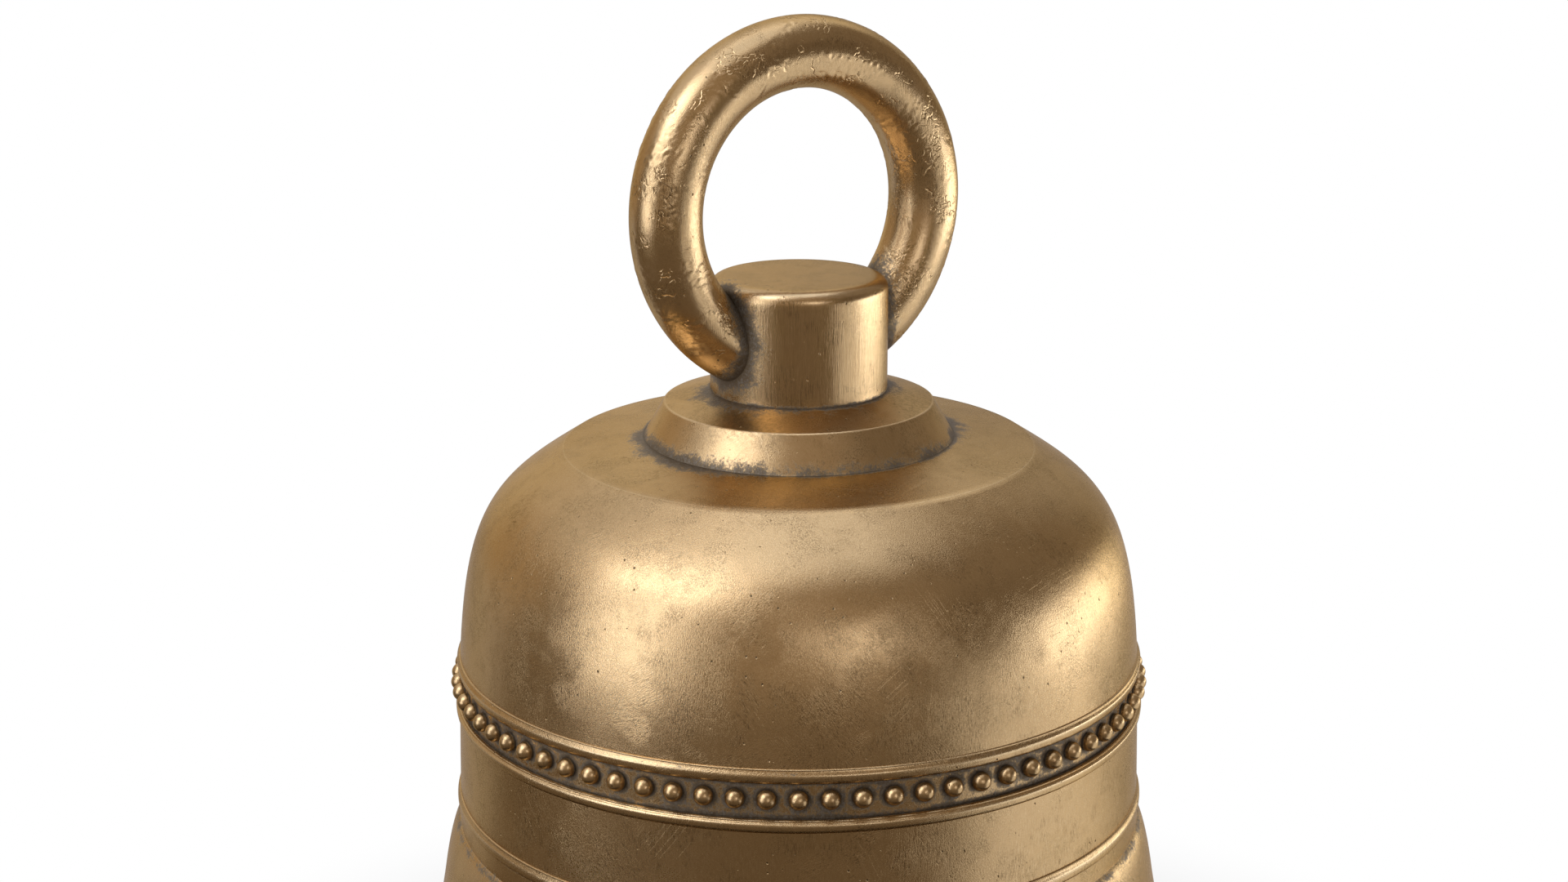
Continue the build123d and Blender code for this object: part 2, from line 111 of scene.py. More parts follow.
def from_bell(azimuth, elevation, distance):
    """A place round the bell. Azimuth 0 is towards the viewer, and 90 is to the viewer's right."""
    turn, rise = math.radians(azimuth), math.radians(elevation)
    level = to_viewer * math.cos(turn) + viewer_right * math.sin(turn)
    return LAMP_AIM + (level * math.cos(rise) + UP * math.sin(rise)) * distance


COOL_WHITE = (0.97, 1.0, 1.06)


def soft_lamp(name, azimuth, elevation, distance, width, height, glow, shape="RECTANGLE"):
    """An area lamp that faces the bell. glow is the brightness of its face, where 1 is white."""
    lamp = bpy.data.lights.new(name, "AREA")
    lamp.color = COOL_WHITE
    lamp.shape = shape
    lamp.size, lamp.size_y = width, height
    face = width * height * (math.pi / 4 if shape == "ELLIPSE" else 1)
    lamp.energy = glow * math.pi * face
    holder = bpy.data.objects.new(name, lamp)
    bpy.context.collection.objects.link(holder)
    holder.location = from_bell(azimuth, elevation, distance)
    holder.rotation_euler = (LAMP_AIM - holder.location).to_track_quat("-Z", "Y").to_euler()
    print(name, "gives", round(lamp.energy, 1), "W from a face of", round(face, 2), "m2")


# %% Lamps round the bell
# name, azimuth and elevation in degrees, distance, width and height in metres, glow
soft_lamp("key_box", -57, 48, 2.2, 1.35, 1.35, 2.25)
soft_lamp("key_core", -69, 50, 2.0, 0.6, 0.6, 1.5)
soft_lamp("key_strip", -57, 17, 2.2, 1.15, 0.95, 2.3)
soft_lamp("key_foot", -57, -7, 2.2, 1.1, 0.9, 2.5)
soft_lamp("front_disc", 20, 17, 2.2, 0.75, 0.75, 1.8, "ELLIPSE")
soft_lamp("overhead", 0, 90, 2.1, 1.7, 1.7, 1.15, "ELLIPSE")
soft_lamp("right_panel", 108, -8, 1.6, 1.5, 0.7, 2.9)


# %% [markdown]
# ## Floor, air and flags
#
# The ground is plain and pale. To the camera, to gloss and to glass it shines at a strength of 1, which is
# white, and close to the bell a share of it stays an ordinary matt floor, which keeps the bell's shadow.
# Its underside is clear, so that the bell can be looked into from below.
# A white room alone would wash the bronze out. Studios hang black cloth, called flags, to put dark shapes
# into metal, and the same is done here, with paler cloths between them where the metal stays bright. All of
# them are seen in gloss only and throw no shadow.

# %% Plain surfaces of the studio
PLAIN_WHITE, FLOOR_COLOUR = (1, 1, 1, 1), (0.82, 0.82, 0.82, 1)
MATT_SHARE, MATT_FULL, MATT_GONE = 0.45, 0.22, 0.42


def empty_tree(owner):
    """The nodes and links of a material or a world, cleared."""
    owner.use_nodes = True
    owner.node_tree.nodes.clear()
    return owner.node_tree.nodes, owner.node_tree.links


def seen_or_mirrored(nodes, links):
    """1 to the camera, to gloss and to glass, and 0 to the light that falls on matt surfaces."""
    path = nodes.new("ShaderNodeLightPath")
    seen, mirrored = nodes.new("ShaderNodeMath"), nodes.new("ShaderNodeMath")
    seen.operation = mirrored.operation = "MAXIMUM"
    links.new(path.outputs["Is Glossy Ray"], mirrored.inputs[0])
    links.new(path.outputs["Is Transmission Ray"], mirrored.inputs[1])
    links.new(path.outputs["Is Camera Ray"], seen.inputs[0])
    links.new(mirrored.outputs[0], seen.inputs[1])
    return seen.outputs[0]


def floor_material(name):
    """A surface that shines white to camera, gloss and glass, and is clear from behind. Near the bell a
    share of it is matt instead, which is whole up to MATT_FULL from the middle and gone at MATT_GONE."""
    material = bpy.data.materials.new(name)
    nodes, links = empty_tree(material)
    out = nodes.new("ShaderNodeOutputMaterial")
    away = nodes.new("ShaderNodeVectorMath")
    away.operation = "LENGTH"
    links.new(nodes.new("ShaderNodeTexCoord").outputs["Object"], away.inputs[0])
    glowing = nodes.new("ShaderNodeMapRange")
    glowing.interpolation_type = "SMOOTHSTEP"
    glowing.inputs["From Min"].default_value, glowing.inputs["From Max"].default_value = MATT_FULL, MATT_GONE
    glowing.inputs["To Min"].default_value = 1 - MATT_SHARE
    links.new(away.outputs["Value"], glowing.inputs["Value"])
    share = nodes.new("ShaderNodeMath")
    share.operation = "MULTIPLY"
    links.new(seen_or_mirrored(nodes, links), share.inputs[0])
    links.new(glowing.outputs["Result"], share.inputs[1])
    matt = nodes.new("ShaderNodeBsdfDiffuse")
    matt.inputs["Color"].default_value = FLOOR_COLOUR
    glow = nodes.new("ShaderNodeEmission")
    glow.inputs["Color"].default_value = PLAIN_WHITE
    glow.inputs["Strength"].default_value = 1.0
    mix = nodes.new("ShaderNodeMixShader")
    links.new(share.outputs[0], mix.inputs["Fac"])
    links.new(matt.outputs[0], mix.inputs[1])
    links.new(glow.outputs[0], mix.inputs[2])
    from_behind = nodes.new("ShaderNodeMixShader")
    links.new(nodes.new("ShaderNodeNewGeometry").outputs["Backfacing"], from_behind.inputs["Fac"])
    links.new(mix.outputs[0], from_behind.inputs[1])
    links.new(nodes.new("ShaderNodeBsdfTransparent").outputs[0], from_behind.inputs[2])
    links.new(from_behind.outputs[0], out.inputs["Surface"])
    return material


def new_piece(name, points, faces):
    """A mesh object made of points in metres and faces that name them."""
    mesh = bpy.data.meshes.new(name)
    mesh.from_pydata(points, [], faces)
    piece = bpy.data.objects.new(name, mesh)
    bpy.context.collection.objects.link(piece)
    return piece


def stage_sheet(name, points, faces, material):
    """A sheet of the studio, which isn't part of the bell."""
    sheet = new_piece(name, points, faces)
    sheet.data.materials.append(material)
    return sheet


FLOOR_REACH, FLOOR_GAP = 14.0, 0.2 * MM
corners = (-1, -1), (1, -1), (1, 1), (-1, 1)
floor_points = [(FLOOR_REACH * x, FLOOR_REACH * y, -FLOOR_GAP) for x, y in corners]
stage_sheet("floor", floor_points, [(0, 1, 2, 3)], floor_material("pale_floor"))
print("floor reaches", FLOOR_REACH, "m each way")

# %% Tent of cloth panels
TENT_REACH = 3.4
WALL_FOOT, WALL_SPLIT, WALL_TOP, ZENITH = -4, 32, 72, 89.9
CLOTH_LIFT = 3 * MM


def cloth(name, colour):
    """Plain cloth that shows one even tone in reflections."""
    material = bpy.data.materials.new(name)
    nodes, links = empty_tree(material)
    glow = nodes.new("ShaderNodeEmission")
    glow.inputs["Color"].default_value = (*colour, 1)
    out = nodes.new("ShaderNodeOutputMaterial")
    links.new(glow.outputs[0], out.inputs["Surface"])
    return material


def seen_in_gloss_only(sheet):
    """Hides a sheet from all but reflections."""
    sheet.visible_camera = False
    sheet.visible_diffuse = False
    sheet.visible_transmission = False
    sheet.visible_shadow = False


def grid_faces(rows, columns):
    """Faces between rows of points, where each row has one point more than columns."""
    wide = columns + 1
    return [(r * wide + c, r * wide + c + 1, (r + 1) * wide + c + 1, (r + 1) * wide + c)
            for r in range(rows) for c in range(columns)]


def panel(name, azimuths, elevations, colour, count=8):
    """A panel of the tent between two azimuths and two elevations, all in degrees."""
    points = []
    for r in range(count + 1):
        rise = elevations[0] + (elevations[1] - elevations[0]) * r / count
        for c in range(count + 1):
            turn = azimuths[0] + (azimuths[1] - azimuths[0]) * c / count
            points.append(from_bell(turn, rise, TENT_REACH))
    seen_in_gloss_only(stage_sheet(name, points, grid_faces(count, count), cloth(name, colour)))


def floor_cloth(name, azimuths, near, far, colour, count=16):
    """A cloth on the floor between two azimuths in degrees and two distances from the bell's axis."""
    points = []
    for reach in (near, far):
        for c in range(count + 1):
            turn = azimuths[0] + (azimuths[1] - azimuths[0]) * c / count
            spot = from_bell(turn, 0, reach)
            points.append((spot.x, spot.y, CLOTH_LIFT))
    seen_in_gloss_only(stage_sheet(name, points, grid_faces(1, count), cloth(name, colour)))


BLACK, EARTH, DARK = (0.01, 0.008, 0.005), (0.17, 0.13, 0.09), (0.25, 0.2, 0.15)
TAN, SAND = (0.36, 0.28, 0.2), (0.48, 0.37, 0.25)
GREY, PALE, WHITE = (0.55, 0.55, 0.62), (0.8, 0.77, 0.76), (1.0, 0.98, 0.96)
JUST_OUTSIDE_LIP, UNDER_REACH = 0.206, 0.3
for side, azimuths, low_tone, high_tone in (
    ("front", (-35, 40), TAN, TAN),
    ("right", (40, 95), EARTH, DARK),
    ("far_right", (95, 140), DARK, DARK),
    ("back_right", (140, 180), GREY, WHITE),
    ("back_left", (180, 220), PALE, PALE),
    ("far_left", (220, 265), SAND, PALE),
    ("left", (265, 325), EARTH, PALE),
):
    panel("low_" + side, azimuths, (WALL_FOOT, WALL_SPLIT), low_tone)
    panel("high_" + side, azimuths, (WALL_SPLIT, WALL_TOP), high_tone)
for side, azimuths, tone in (
    ("front", (-50, 50), EARTH),
    ("right", (50, 110), WHITE),
    ("back_right", (110, 180), GREY),
    ("back_left", (180, 250), GREY),
    ("left", (250, 310), EARTH),
):
    floor_cloth("ground_" + side, azimuths, UNDER_REACH, TENT_REACH, tone)
panel("top", (0, 360), (WALL_TOP, ZENITH), BLACK, 24)
floor_cloth("ground_under", (0, 360), JUST_OUTSIDE_LIP, UNDER_REACH, BLACK, 48)

# %% Air
AIR_LIGHT = 0.36

world = bpy.data.worlds.new("air")
bpy.context.scene.world = world
air, air_links = empty_tree(world)
air_out = air.new("ShaderNodeOutputWorld")
air_level = air.new("ShaderNodeMapRange")
air_level.inputs["To Min"].default_value = AIR_LIGHT
air_links.new(seen_or_mirrored(air, air_links), air_level.inputs["Value"])
air_glow = air.new("ShaderNodeBackground")
air_glow.inputs["Color"].default_value = PLAIN_WHITE
air_links.new(air_level.outputs["Result"], air_glow.inputs["Strength"])
air_links.new(air_glow.outputs[0], air_out.inputs["Surface"])
print("air shows as white and lights matt surfaces at", AIR_LIGHT)


# %% [markdown]
# ## A bench for finishes
#
# A finish here is a graph of small patterns: clouds, strokes, pits, bands of dirt. Wiring nodes one by one
# hides what is meant, so this bench gives each kind of pattern one short call that takes sizes in
# millimetres. All of them read the bell's own coordinates, so a pattern has the same scale on every piece.

# %% Bench for node patterns
class Finish:
    """A material and short calls for its patterns. Values may be numbers or node outputs."""

    def __init__(self, name):
        self.material = bpy.data.materials.new(name)
        empty_tree(self.material)
        self.tree = self.material.node_tree
        out = self.node("ShaderNodeOutputMaterial")
        self.shader = self.node("ShaderNodeBsdfPrincipled")
        self.link(self.shader.outputs[0], out.inputs["Surface"])
        self.place = self.node("ShaderNodeTexCoord").outputs["Object"]
        parts = self.node("ShaderNodeSeparateXYZ")
        self.link(self.place, parts.inputs[0])
        self.x, self.y, self.z = parts.outputs
        self.radius = self.length(self.x, self.y)

    def node(self, kind):
        """A new node of the given kind."""
        return self.tree.nodes.new(kind)

    def link(self, value, socket):
        """Wires a node's output into a socket, or sets the socket to a number or colour."""
        if hasattr(value, "links"):
            self.tree.links.new(value, socket)
        elif isinstance(value, tuple) and len(value) == 3 and len(socket.default_value) == 4:
            socket.default_value = (*value, 1)
        else:
            socket.default_value = value

    def done(self):
        """The finished material, once its size is printed."""
        print(self.material.name, "is a graph of", len(self.tree.nodes), "nodes")
        return self.material

    def calc(self, operation, *values):
        """One sum on numbers or outputs, by its name in the Math node."""
        step = self.node("ShaderNodeMath")
        step.operation = operation
        for value, socket in zip(values, step.inputs):
            self.link(value, socket)
        return step.outputs[0]

    def plus(self, first, second):
        return self.calc("ADD", first, second)

    def minus(self, first, second):
        return self.calc("SUBTRACT", first, second)

    def times(self, first, second):
        return self.calc("MULTIPLY", first, second)

    def length(self, first, second):
        """The long side of a right angle whose short sides are given."""
        squares = self.plus(self.times(first, first), self.times(second, second))
        return self.calc("SQRT", squares)

    def ramp(self, value, low, high):
        """0 below low, 1 above high, and a smooth step between."""
        step = self.node("ShaderNodeMapRange")
        step.interpolation_type = "SMOOTHSTEP"
        self.link(value, step.inputs["Value"])
        self.link(low, step.inputs["From Min"])
        self.link(high, step.inputs["From Max"])
        return step.outputs["Result"]

    def between(self, value, low, high):
        """A number that runs from low to high as value runs from 0 to 1."""
        step = self.node("ShaderNodeMapRange")
        self.link(value, step.inputs["Value"])
        self.link(low, step.inputs["To Min"])
        self.link(high, step.inputs["To Max"])
        return step.outputs["Result"]

    def mix(self, factor, first, second):
        """The first colour or number where factor is 0, and the second where it is 1."""
        step = self.node("ShaderNodeMix")
        step.data_type = "RGBA"
        self.link(factor, step.inputs["Factor"])
        self.link(first, step.inputs[6])
        self.link(second, step.inputs[7])
        return step.outputs[2]

    def stroked(self, across, along, turn=(0, 0, 0)):
        """Coordinates drawn out along Z after a turn in degrees. Sizes in millimetres."""
        spin = self.node("ShaderNodeVectorRotate")
        spin.rotation_type = "EULER_XYZ"
        spin.inputs["Rotation"].default_value = tuple(math.radians(t) for t in turn)
        self.link(self.place, spin.inputs["Vector"])
        scale = self.node("ShaderNodeVectorMath")
        scale.operation = "MULTIPLY"
        self.link(spin.outputs[0], scale.inputs[0])
        scale.inputs[1].default_value = (1 / (across * MM), 1 / (across * MM), 1 / (along * MM))
        return scale.outputs[0]

    def cloud(self, size, detail=2.0, rough=0.5, where=None):
        """Soft noise with features of about the given size in millimetres."""
        step = self.node("ShaderNodeTexNoise")
        self.link(self.place if where is None else where, step.inputs["Vector"])
        step.inputs["Scale"].default_value = 1 / (size * MM) if where is None else 1.0
        step.inputs["Detail"].default_value = detail
        step.inputs["Roughness"].default_value = rough
        return step.outputs["Fac"]

    def stripes(self, heading, size):
        """Noise that changes along one heading only, and bent a little, so its lines are almost straight."""
        bend = self.times(self.cloud(42, 1), 6.0 * MM)
        dot = self.node("ShaderNodeVectorMath")
        dot.operation = "DOT_PRODUCT"
        self.link(self.place, dot.inputs[0])
        dot.inputs[1].default_value = Vector(heading).normalized()
        step = self.node("ShaderNodeTexNoise")
        step.noise_dimensions = "1D"
        along = self.calc("DIVIDE", self.plus(dot.outputs["Value"], bend), size * MM)
        self.link(along, step.inputs["W"])
        step.inputs["Scale"].default_value = 1.0
        step.inputs["Detail"].default_value = 1.0
        return step.outputs["Fac"]

    def near(self, value, place, reach):
        """1 where value is at place, falling to 0 at reach on either side."""
        away = self.calc("ABSOLUTE", self.minus(value, place))
        step = self.node("ShaderNodeMapRange")
        self.link(away, step.inputs["Value"])
        step.inputs["From Max"].default_value = reach
        step.inputs["To Min"].default_value, step.inputs["To Max"].default_value = 1, 0
        return step.outputs["Result"]

    def most(self, *values):
        """The highest of several values."""
        top = values[0]
        for value in values[1:]:
            top = self.calc("MAXIMUM", top, value)
        return top

    def relief(self, height, depth, under=None):
        """Bump whose height of 1 stands for depth in millimetres."""
        step = self.node("ShaderNodeBump")
        step.inputs["Strength"].default_value = 1.0
        step.inputs["Distance"].default_value = depth * MM
        self.link(height, step.inputs["Height"])
        if under is not None:
            self.link(under, step.inputs["Normal"])
        return step.outputs["Normal"]


# %% [markdown]
# ## Satin bronze
#
# The bell was scoured and brushed by hand after casting. Close up that leaves short strokes that run in
# patches, a few long hairlines, and pinholes where gas came out of the metal. Grime sits in the creases as
# a dull grey skin with a broken edge, and rubbed edges are brighter. One recipe covers the casting, beads,
# collar, boss and ring, and each piece says where its hollows are and how hard it was brushed.

# %% Tones of the bronze
GOLD = (0.63, 0.45, 0.25)
BROWN = (0.47, 0.32, 0.165)
STAIN = (0.25, 0.175, 0.095)
RUBBED = (0.72, 0.55, 0.34)
GRIME = (0.15, 0.138, 0.128)
# near black: soot in pits, deep creases and joints, and also painted shade in the thin line under the wire
# over the recess
SOOT_AND_SHADE = (0.045, 0.032, 0.022)
EDGE_TINT = (0.74, 0.60, 0.40)


# %% Marks that hands and casting leave
def brushed(f):
    """Fine hand strokes in patches that run three ways, from 0 to 1."""
    upright = f.cloud(1, 3, 0.7, f.stroked(0.42, 3.4))
    leaning = f.cloud(1, 3, 0.7, f.stroked(0.42, 3.1, (30, 22, 0)))
    crossing = f.cloud(1, 3, 0.7, f.stroked(0.45, 2.6, (-52, -34, 0)))
    patch = f.ramp(f.cloud(46, 3, 0.6), 0.4, 0.62)
    other_patch = f.ramp(f.cloud(1, 3, 0.6, f.stroked(33, 33, (50, 20, 80))), 0.5, 0.66)
    return f.mix(other_patch, f.mix(patch, upright, leaning), crossing)


def brushed_upright(f):
    """Long fine strokes that all run up and down, as a brush leaves them on a turned side, from 0 to 1."""
    wide, narrow = f.cloud(1, 3, 0.7, f.stroked(0.6, 14)), f.cloud(1, 2, 0.6, f.stroked(0.35, 6, (2, -3, 0)))
    return f.plus(f.times(wide, 0.6), f.times(narrow, 0.4))


def scratched(f):
    """Straight hairlines in a few directions, each broken off by its own patches, from 0 to 1."""
    lines = 0.0
    for heading, size, patch_size in (
        ((0.9, 0.2, 0.3), 5.3, 21),
        ((0.5, -0.6, 0.5), 6.7, 17),
        ((-0.3, 0.8, 0.55), 4.9, 25),
        ((0.75, 0.75, -0.2), 7.6, 29),
    ):
        drawn = f.near(f.stripes(heading, size), 0.5, 0.007)
        patch = f.ramp(f.cloud(patch_size, 3, 0.6), 0.56, 0.62)
        lines = f.calc("MAXIMUM", lines, f.times(drawn, patch))
    return lines


def pitted(f, size, patch_size, cover):
    """Pinholes about size apart, in patches of patch_size. A higher cover leaves fewer patches with any."""
    cells = f.node("ShaderNodeTexVoronoi")
    f.link(f.stroked(size, size * 1.3, (0, 12, 0)), cells.inputs["Vector"])
    cells.inputs["Scale"].default_value = 1.0
    hole = f.minus(1.0, f.ramp(cells.outputs["Distance"], 0.03, 0.12))
    return f.times(hole, f.ramp(f.cloud(patch_size, 2, 0.6), cover, cover + 0.05))


def stained(f):
    """Blotches of old stain with crazed edges and thin clear veins, from 0 to 1."""
    blotch = f.times(f.ramp(f.cloud(31, 2, 0.5), 0.53, 0.64), f.ramp(f.cloud(1.6, 4, 0.75), 0.42, 0.56))
    veins = f.near(f.cloud(2.6, 4, 0.7), 0.5, 0.05)
    return f.times(blotch, f.between(veins, 1.0, 0.35))


def battered(f):
    """Curled folds and crumpled islands of metal that hooks have pushed about, as a height from 0 to 1."""
    fold = f.near(f.cloud(5.5, 2, 0.45), 0.5, 0.045)
    fold_too = f.near(f.cloud(3.1, 1, 0.4), 0.47, 0.05)
    here, there = f.ramp(f.cloud(17, 2, 0.6), 0.55, 0.62), f.ramp(f.cloud(13, 2, 0.6), 0.57, 0.64)
    crumple = f.times(f.cloud(1.3, 3, 0.7), f.ramp(f.cloud(22, 3, 0.6), 0.54, 0.64))
    lines = f.most(f.times(fold, here), f.times(fold_too, there))
    return f.plus(lines, f.times(crumple, 0.9))


# %% Recipe for bronze
def grimy(f, depth, crumbs):
    """Grime where a crease is deep, with an edge broken up by crumbs and by wider clumps, from 0 to 1."""
    clumps = f.minus(f.cloud(9, 2, 0.5), 0.5)
    broken = f.plus(depth, f.times(crumbs, 1.5))
    broken = f.plus(broken, f.times(clumps, 0.9))
    return f.times(f.ramp(broken, 0.38, 0.78), f.ramp(depth, 0.02, 0.16))


def bronze(name, hollows, ridges=None, joints_and_painted_shade=None, brush=brushed, rough=0.3, grain=1.0, pits=1.0, stains=1.0,
           scratches=1.0, knocks=0.0):
    """Satin bronze. The three functions after the name say, from 0 to 1, where a point lies deep in a
    crease, where it lies on a rubbed edge, and where it lies on a thin dark line: the joints where two
    pieces meet, and lines of painted shade. brush draws its strokes, rough is its roughness, and the other
    numbers say how much there is of each mark."""
    f = Finish(name)
    strokes, hairline, blotch = brush(f), f.times(scratched(f), scratches), stained(f)
    pit = f.most(pitted(f, 4.4, 21, 0.5), pitted(f, 2.3, 13, 0.585))
    speckle = f.cloud(0.62, 3, 0.7)
    busy = f.ramp(f.cloud(17, 4, 0.65), 0.46, 0.6)
    depth, crumbs = hollows(f), f.minus(f.cloud(1.3, 5, 0.78), 0.5)
    grime = grimy(f, depth, crumbs)

    tone = f.mix(f.between(f.ramp(f.cloud(60, 3, 0.55), 0.34, 0.7), 0.3, 0.65), GOLD, BROWN)
    cloudy = f.times(f.ramp(f.cloud(4.5, 5, 0.75), 0.46, 0.7), 0.13)
    tone = f.mix(cloudy, tone, BROWN)
    tone = f.mix(f.times(blotch, 0.6 * stains), tone, STAIN)
    tone = f.mix(f.times(f.ramp(strokes, 0.42, 0.7), 0.42), tone, RUBBED)
    tone = f.mix(f.times(f.times(f.ramp(strokes, 0.48, 0.38), busy), 0.8), tone, STAIN)
    tone = f.mix(f.times(f.times(f.ramp(speckle, 0.52, 0.6), busy), 0.38), tone, STAIN)
    tone = f.mix(f.times(hairline, 0.3), tone, RUBBED)
    if ridges is not None:
        worn = f.ramp(f.plus(ridges(f), f.times(crumbs, 0.8)), 0.4, 0.75)
        tone = f.mix(f.times(worn, 0.7), tone, RUBBED)
    tone = f.mix(f.times(pit, 0.7), tone, SOOT_AND_SHADE)
    dirt = f.mix(f.ramp(crumbs, -0.1, 0.16), SOOT_AND_SHADE, GRIME)
    dirt = f.mix(f.times(f.ramp(depth, 0.84, 1.0), 0.7), dirt, SOOT_AND_SHADE)
    tone = f.mix(f.times(grime, 0.9), tone, dirt)
    # thin dark lines: the joints where two pieces meet, and on the casting a painted line of shade under a
    # wire
    if joints_and_painted_shade is not None:
        tone = f.mix(f.times(joints_and_painted_shade(f), 0.8), tone, SOOT_AND_SHADE)
    f.link(tone, f.shader.inputs["Base Color"])
    f.shader.inputs["Specular Tint"].default_value = (*EDGE_TINT, 1)

    f.link(f.between(grime, 1.0, 0.45), f.shader.inputs["Metallic"])
    satin = f.between(speckle, rough - 0.05, rough + 0.05)
    satin = f.plus(satin, f.times(blotch, 0.05 * stains))
    satin = f.plus(satin, f.times(grime, 0.18))
    f.link(satin, f.shader.inputs["Roughness"])

    fine = f.times(speckle, f.between(busy, 0.7, 1.0))
    drawn = f.times(f.ramp(strokes, 0.36, 0.66), f.between(busy, 0.8, 1.0))
    normal = f.relief(drawn, 0.03 * grain)
    normal = f.relief(fine, 0.016 * grain, normal)
    normal = f.relief(hairline, -0.03 * grain, normal)
    normal = f.relief(pit, -0.3 * pits, normal)
    if knocks:
        normal = f.relief(battered(f), -0.2 * knocks, normal)
    f.link(normal, f.shader.inputs["Normal"])
    return f.done()


# %% [markdown]
# ## The casting
#
# The founder shapes a bell by sweeping a profile board round an upright axis, so the casting is swept the
# same way here: one half section, turned. The section repeats the model's lines in their own words. Sweeping
# it afresh gives far finer faces than the model's, and those can carry the slight waviness of cast metal,
# which is what makes long reflections wander.

# %% Section helpers
def at(radius, height):
    """A point on the half section, in millimetres."""
    return Vector((radius, height))


def step(angle, length):
    """A move on the section, at an angle above level and outwards."""
    turn = math.radians(angle)
    return Vector((math.cos(turn), math.sin(turn))) * length


def straight(start, end, count):
    """Evenly spaced points of a straight run, without its last point."""
    return [start.lerp(end, k / count) for k in range(count)]


def pulled(start, pull, other_pull, end, count):
    """A Bezier curve, without its last point."""
    curve = []
    for k in range(count):
        t = k / count
        s = 1 - t
        curve.append(start * s**3 + pull * 3 * s * s * t + other_pull * 3 * s * t * t + end * t**3)
    return curve


def wire_round(low, high, stand, count=10):
    """The rounded outline of a raised wire between its two edges, which stands outwards."""
    half = (high - low) / 2
    out = Vector((half.y, -half.x)).normalized()
    size = (half.length_squared + stand**2) / (2 * stand)
    centre = (low + high) / 2 + out * (stand - size)
    sweep = math.asin(min(1, half.length / size))
    if stand > size:
        sweep = math.pi - sweep
    along = half.normalized()
    turns = [sweep * (2 * k / count - 1) for k in range(count)]
    return [centre + out * size * math.cos(t) + along * size * math.sin(t) for t in turns]


CREST_UP, UNDER_UP, UNDER_SHARE = 3.4, 1.36, 0.84
EDGE_DOWN, EDGE_STAND = 0.5, 0.6


def wire_moulded(low, high, stand):
    """A moulded wire: a round crest low down, a shallow cove over it and a thin edge at the top."""
    up = (high - low).normalized()
    crest = low + up * CREST_UP + at(stand, 0)
    edge = high - up * EDGE_DOWN + at(EDGE_STAND, 0)
    under_end = low + up * UNDER_UP + at(stand * UNDER_SHARE, 0)
    return (
        pulled(low, low + at(stand * 0.55, 0.1), under_end - up * 0.4 - at(0.12, 0), under_end, 5)
        + pulled(under_end, under_end + up * 0.7 + at(stand * 0.14, 0), crest - up * 0.7, crest, 5)
        + pulled(crest, crest + up * 0.8, (crest + edge) / 2 - at(0.3, 0), edge - at(0.1, 0.25), 7)
        + pulled(edge - at(0.1, 0.25), edge - at(0, 0.1), edge + at(0, 0.15), edge + at(-0.05, 0.3), 4)
        + [edge + at(-0.35, 0.42)]
    )


# %% Sizes of the casting
LIP_RADIUS, LIP_ROUND = 200.5, 4
LIP_SIDE = at(LIP_RADIUS + LIP_ROUND, LIP_ROUND)
BOW_TOP = at(183.5, 58)
BULGE, CREASE = at(157.1, 146.3), at(149.6, 171.4)
STRIP_END, BAND_LOW, BAND_HIGH = at(149.6, 180.1), at(149.1, 186.6), at(148.2, 221.5)
RECESS_LOW, RECESS_HIGH, RECESS_RADIUS = 226.9, 241.5, 146.6
RECESS_SILL, RECESS_LINTEL = at(148.2, RECESS_LOW), at(147.2, RECESS_HIGH)
SHOULDER_FOOT, CROWN_EDGE = at(147.2, 247.7), at(100.7, 336.3)
SEAT_HEIGHT, STUD_HOLE = 340.5, 10.5
SEAT_EDGE = at(66.8, SEAT_HEIGHT)
CROWN_UNDERSIDE, CORE_CROWN_RADIUS, CORE_CROWN_PULL = 326.0, 84, 121
CORE_SHOULDER, CORE_WAIST, CORE_LIP = at(136.8, 252), at(146.1, 146.3), at(192.5, 0)
CORE_BOW_PULL = at(150, 36)

# %% Half section of the casting, outside
wire_top = BOW_TOP + step(112, 7)
thin_low = wire_top + step(111, 5)
thin_top = thin_low + step(110, 4)
rise = BULGE.y - thin_top.y
lip_corner = at(LIP_RADIUS, LIP_ROUND)

outline = [lip_corner + step(angle, LIP_ROUND) for angle in range(-90, 0, 15)]
outline += pulled(LIP_SIDE, LIP_SIDE + step(101, 17.3), BOW_TOP + step(-61, 19.4), BOW_TOP, 22)
outline += wire_round(BOW_TOP, wire_top, 2.2, 10)
outline += straight(wire_top, thin_low, 3)
outline += wire_round(thin_low, thin_top, 1.3, 6)
outline += pulled(thin_top, thin_top + step(109, rise * 0.4), BULGE + step(-81.2, rise * 0.4), BULGE, 24)
outline += pulled(BULGE, BULGE + step(98.8, 12.5), CREASE + step(-40, 3.8), CREASE, 14)
outline += straight(CREASE, STRIP_END, 5)
outline += wire_moulded(STRIP_END, BAND_LOW, 1.1)
outline += straight(BAND_LOW, BAND_HIGH, 12)
outline += wire_moulded(BAND_HIGH, RECESS_SILL, 1.5)
outline += straight(RECESS_SILL, at(RECESS_RADIUS, RECESS_LOW), 2)
outline += straight(at(RECESS_RADIUS, RECESS_LOW), at(RECESS_RADIUS, RECESS_HIGH), 12)
outline += straight(at(RECESS_RADIUS, RECESS_HIGH), RECESS_LINTEL, 1)
outline += wire_moulded(RECESS_LINTEL, SHOULDER_FOOT, 1.5)
dome_pull, other_dome_pull = SHOULDER_FOOT + step(93.9, 64.2), CROWN_EDGE + step(-32.9, 35.4)
outline += pulled(SHOULDER_FOOT, dome_pull, other_dome_pull, CROWN_EDGE, 44)
outline += straight(CROWN_EDGE, SEAT_EDGE, 10)
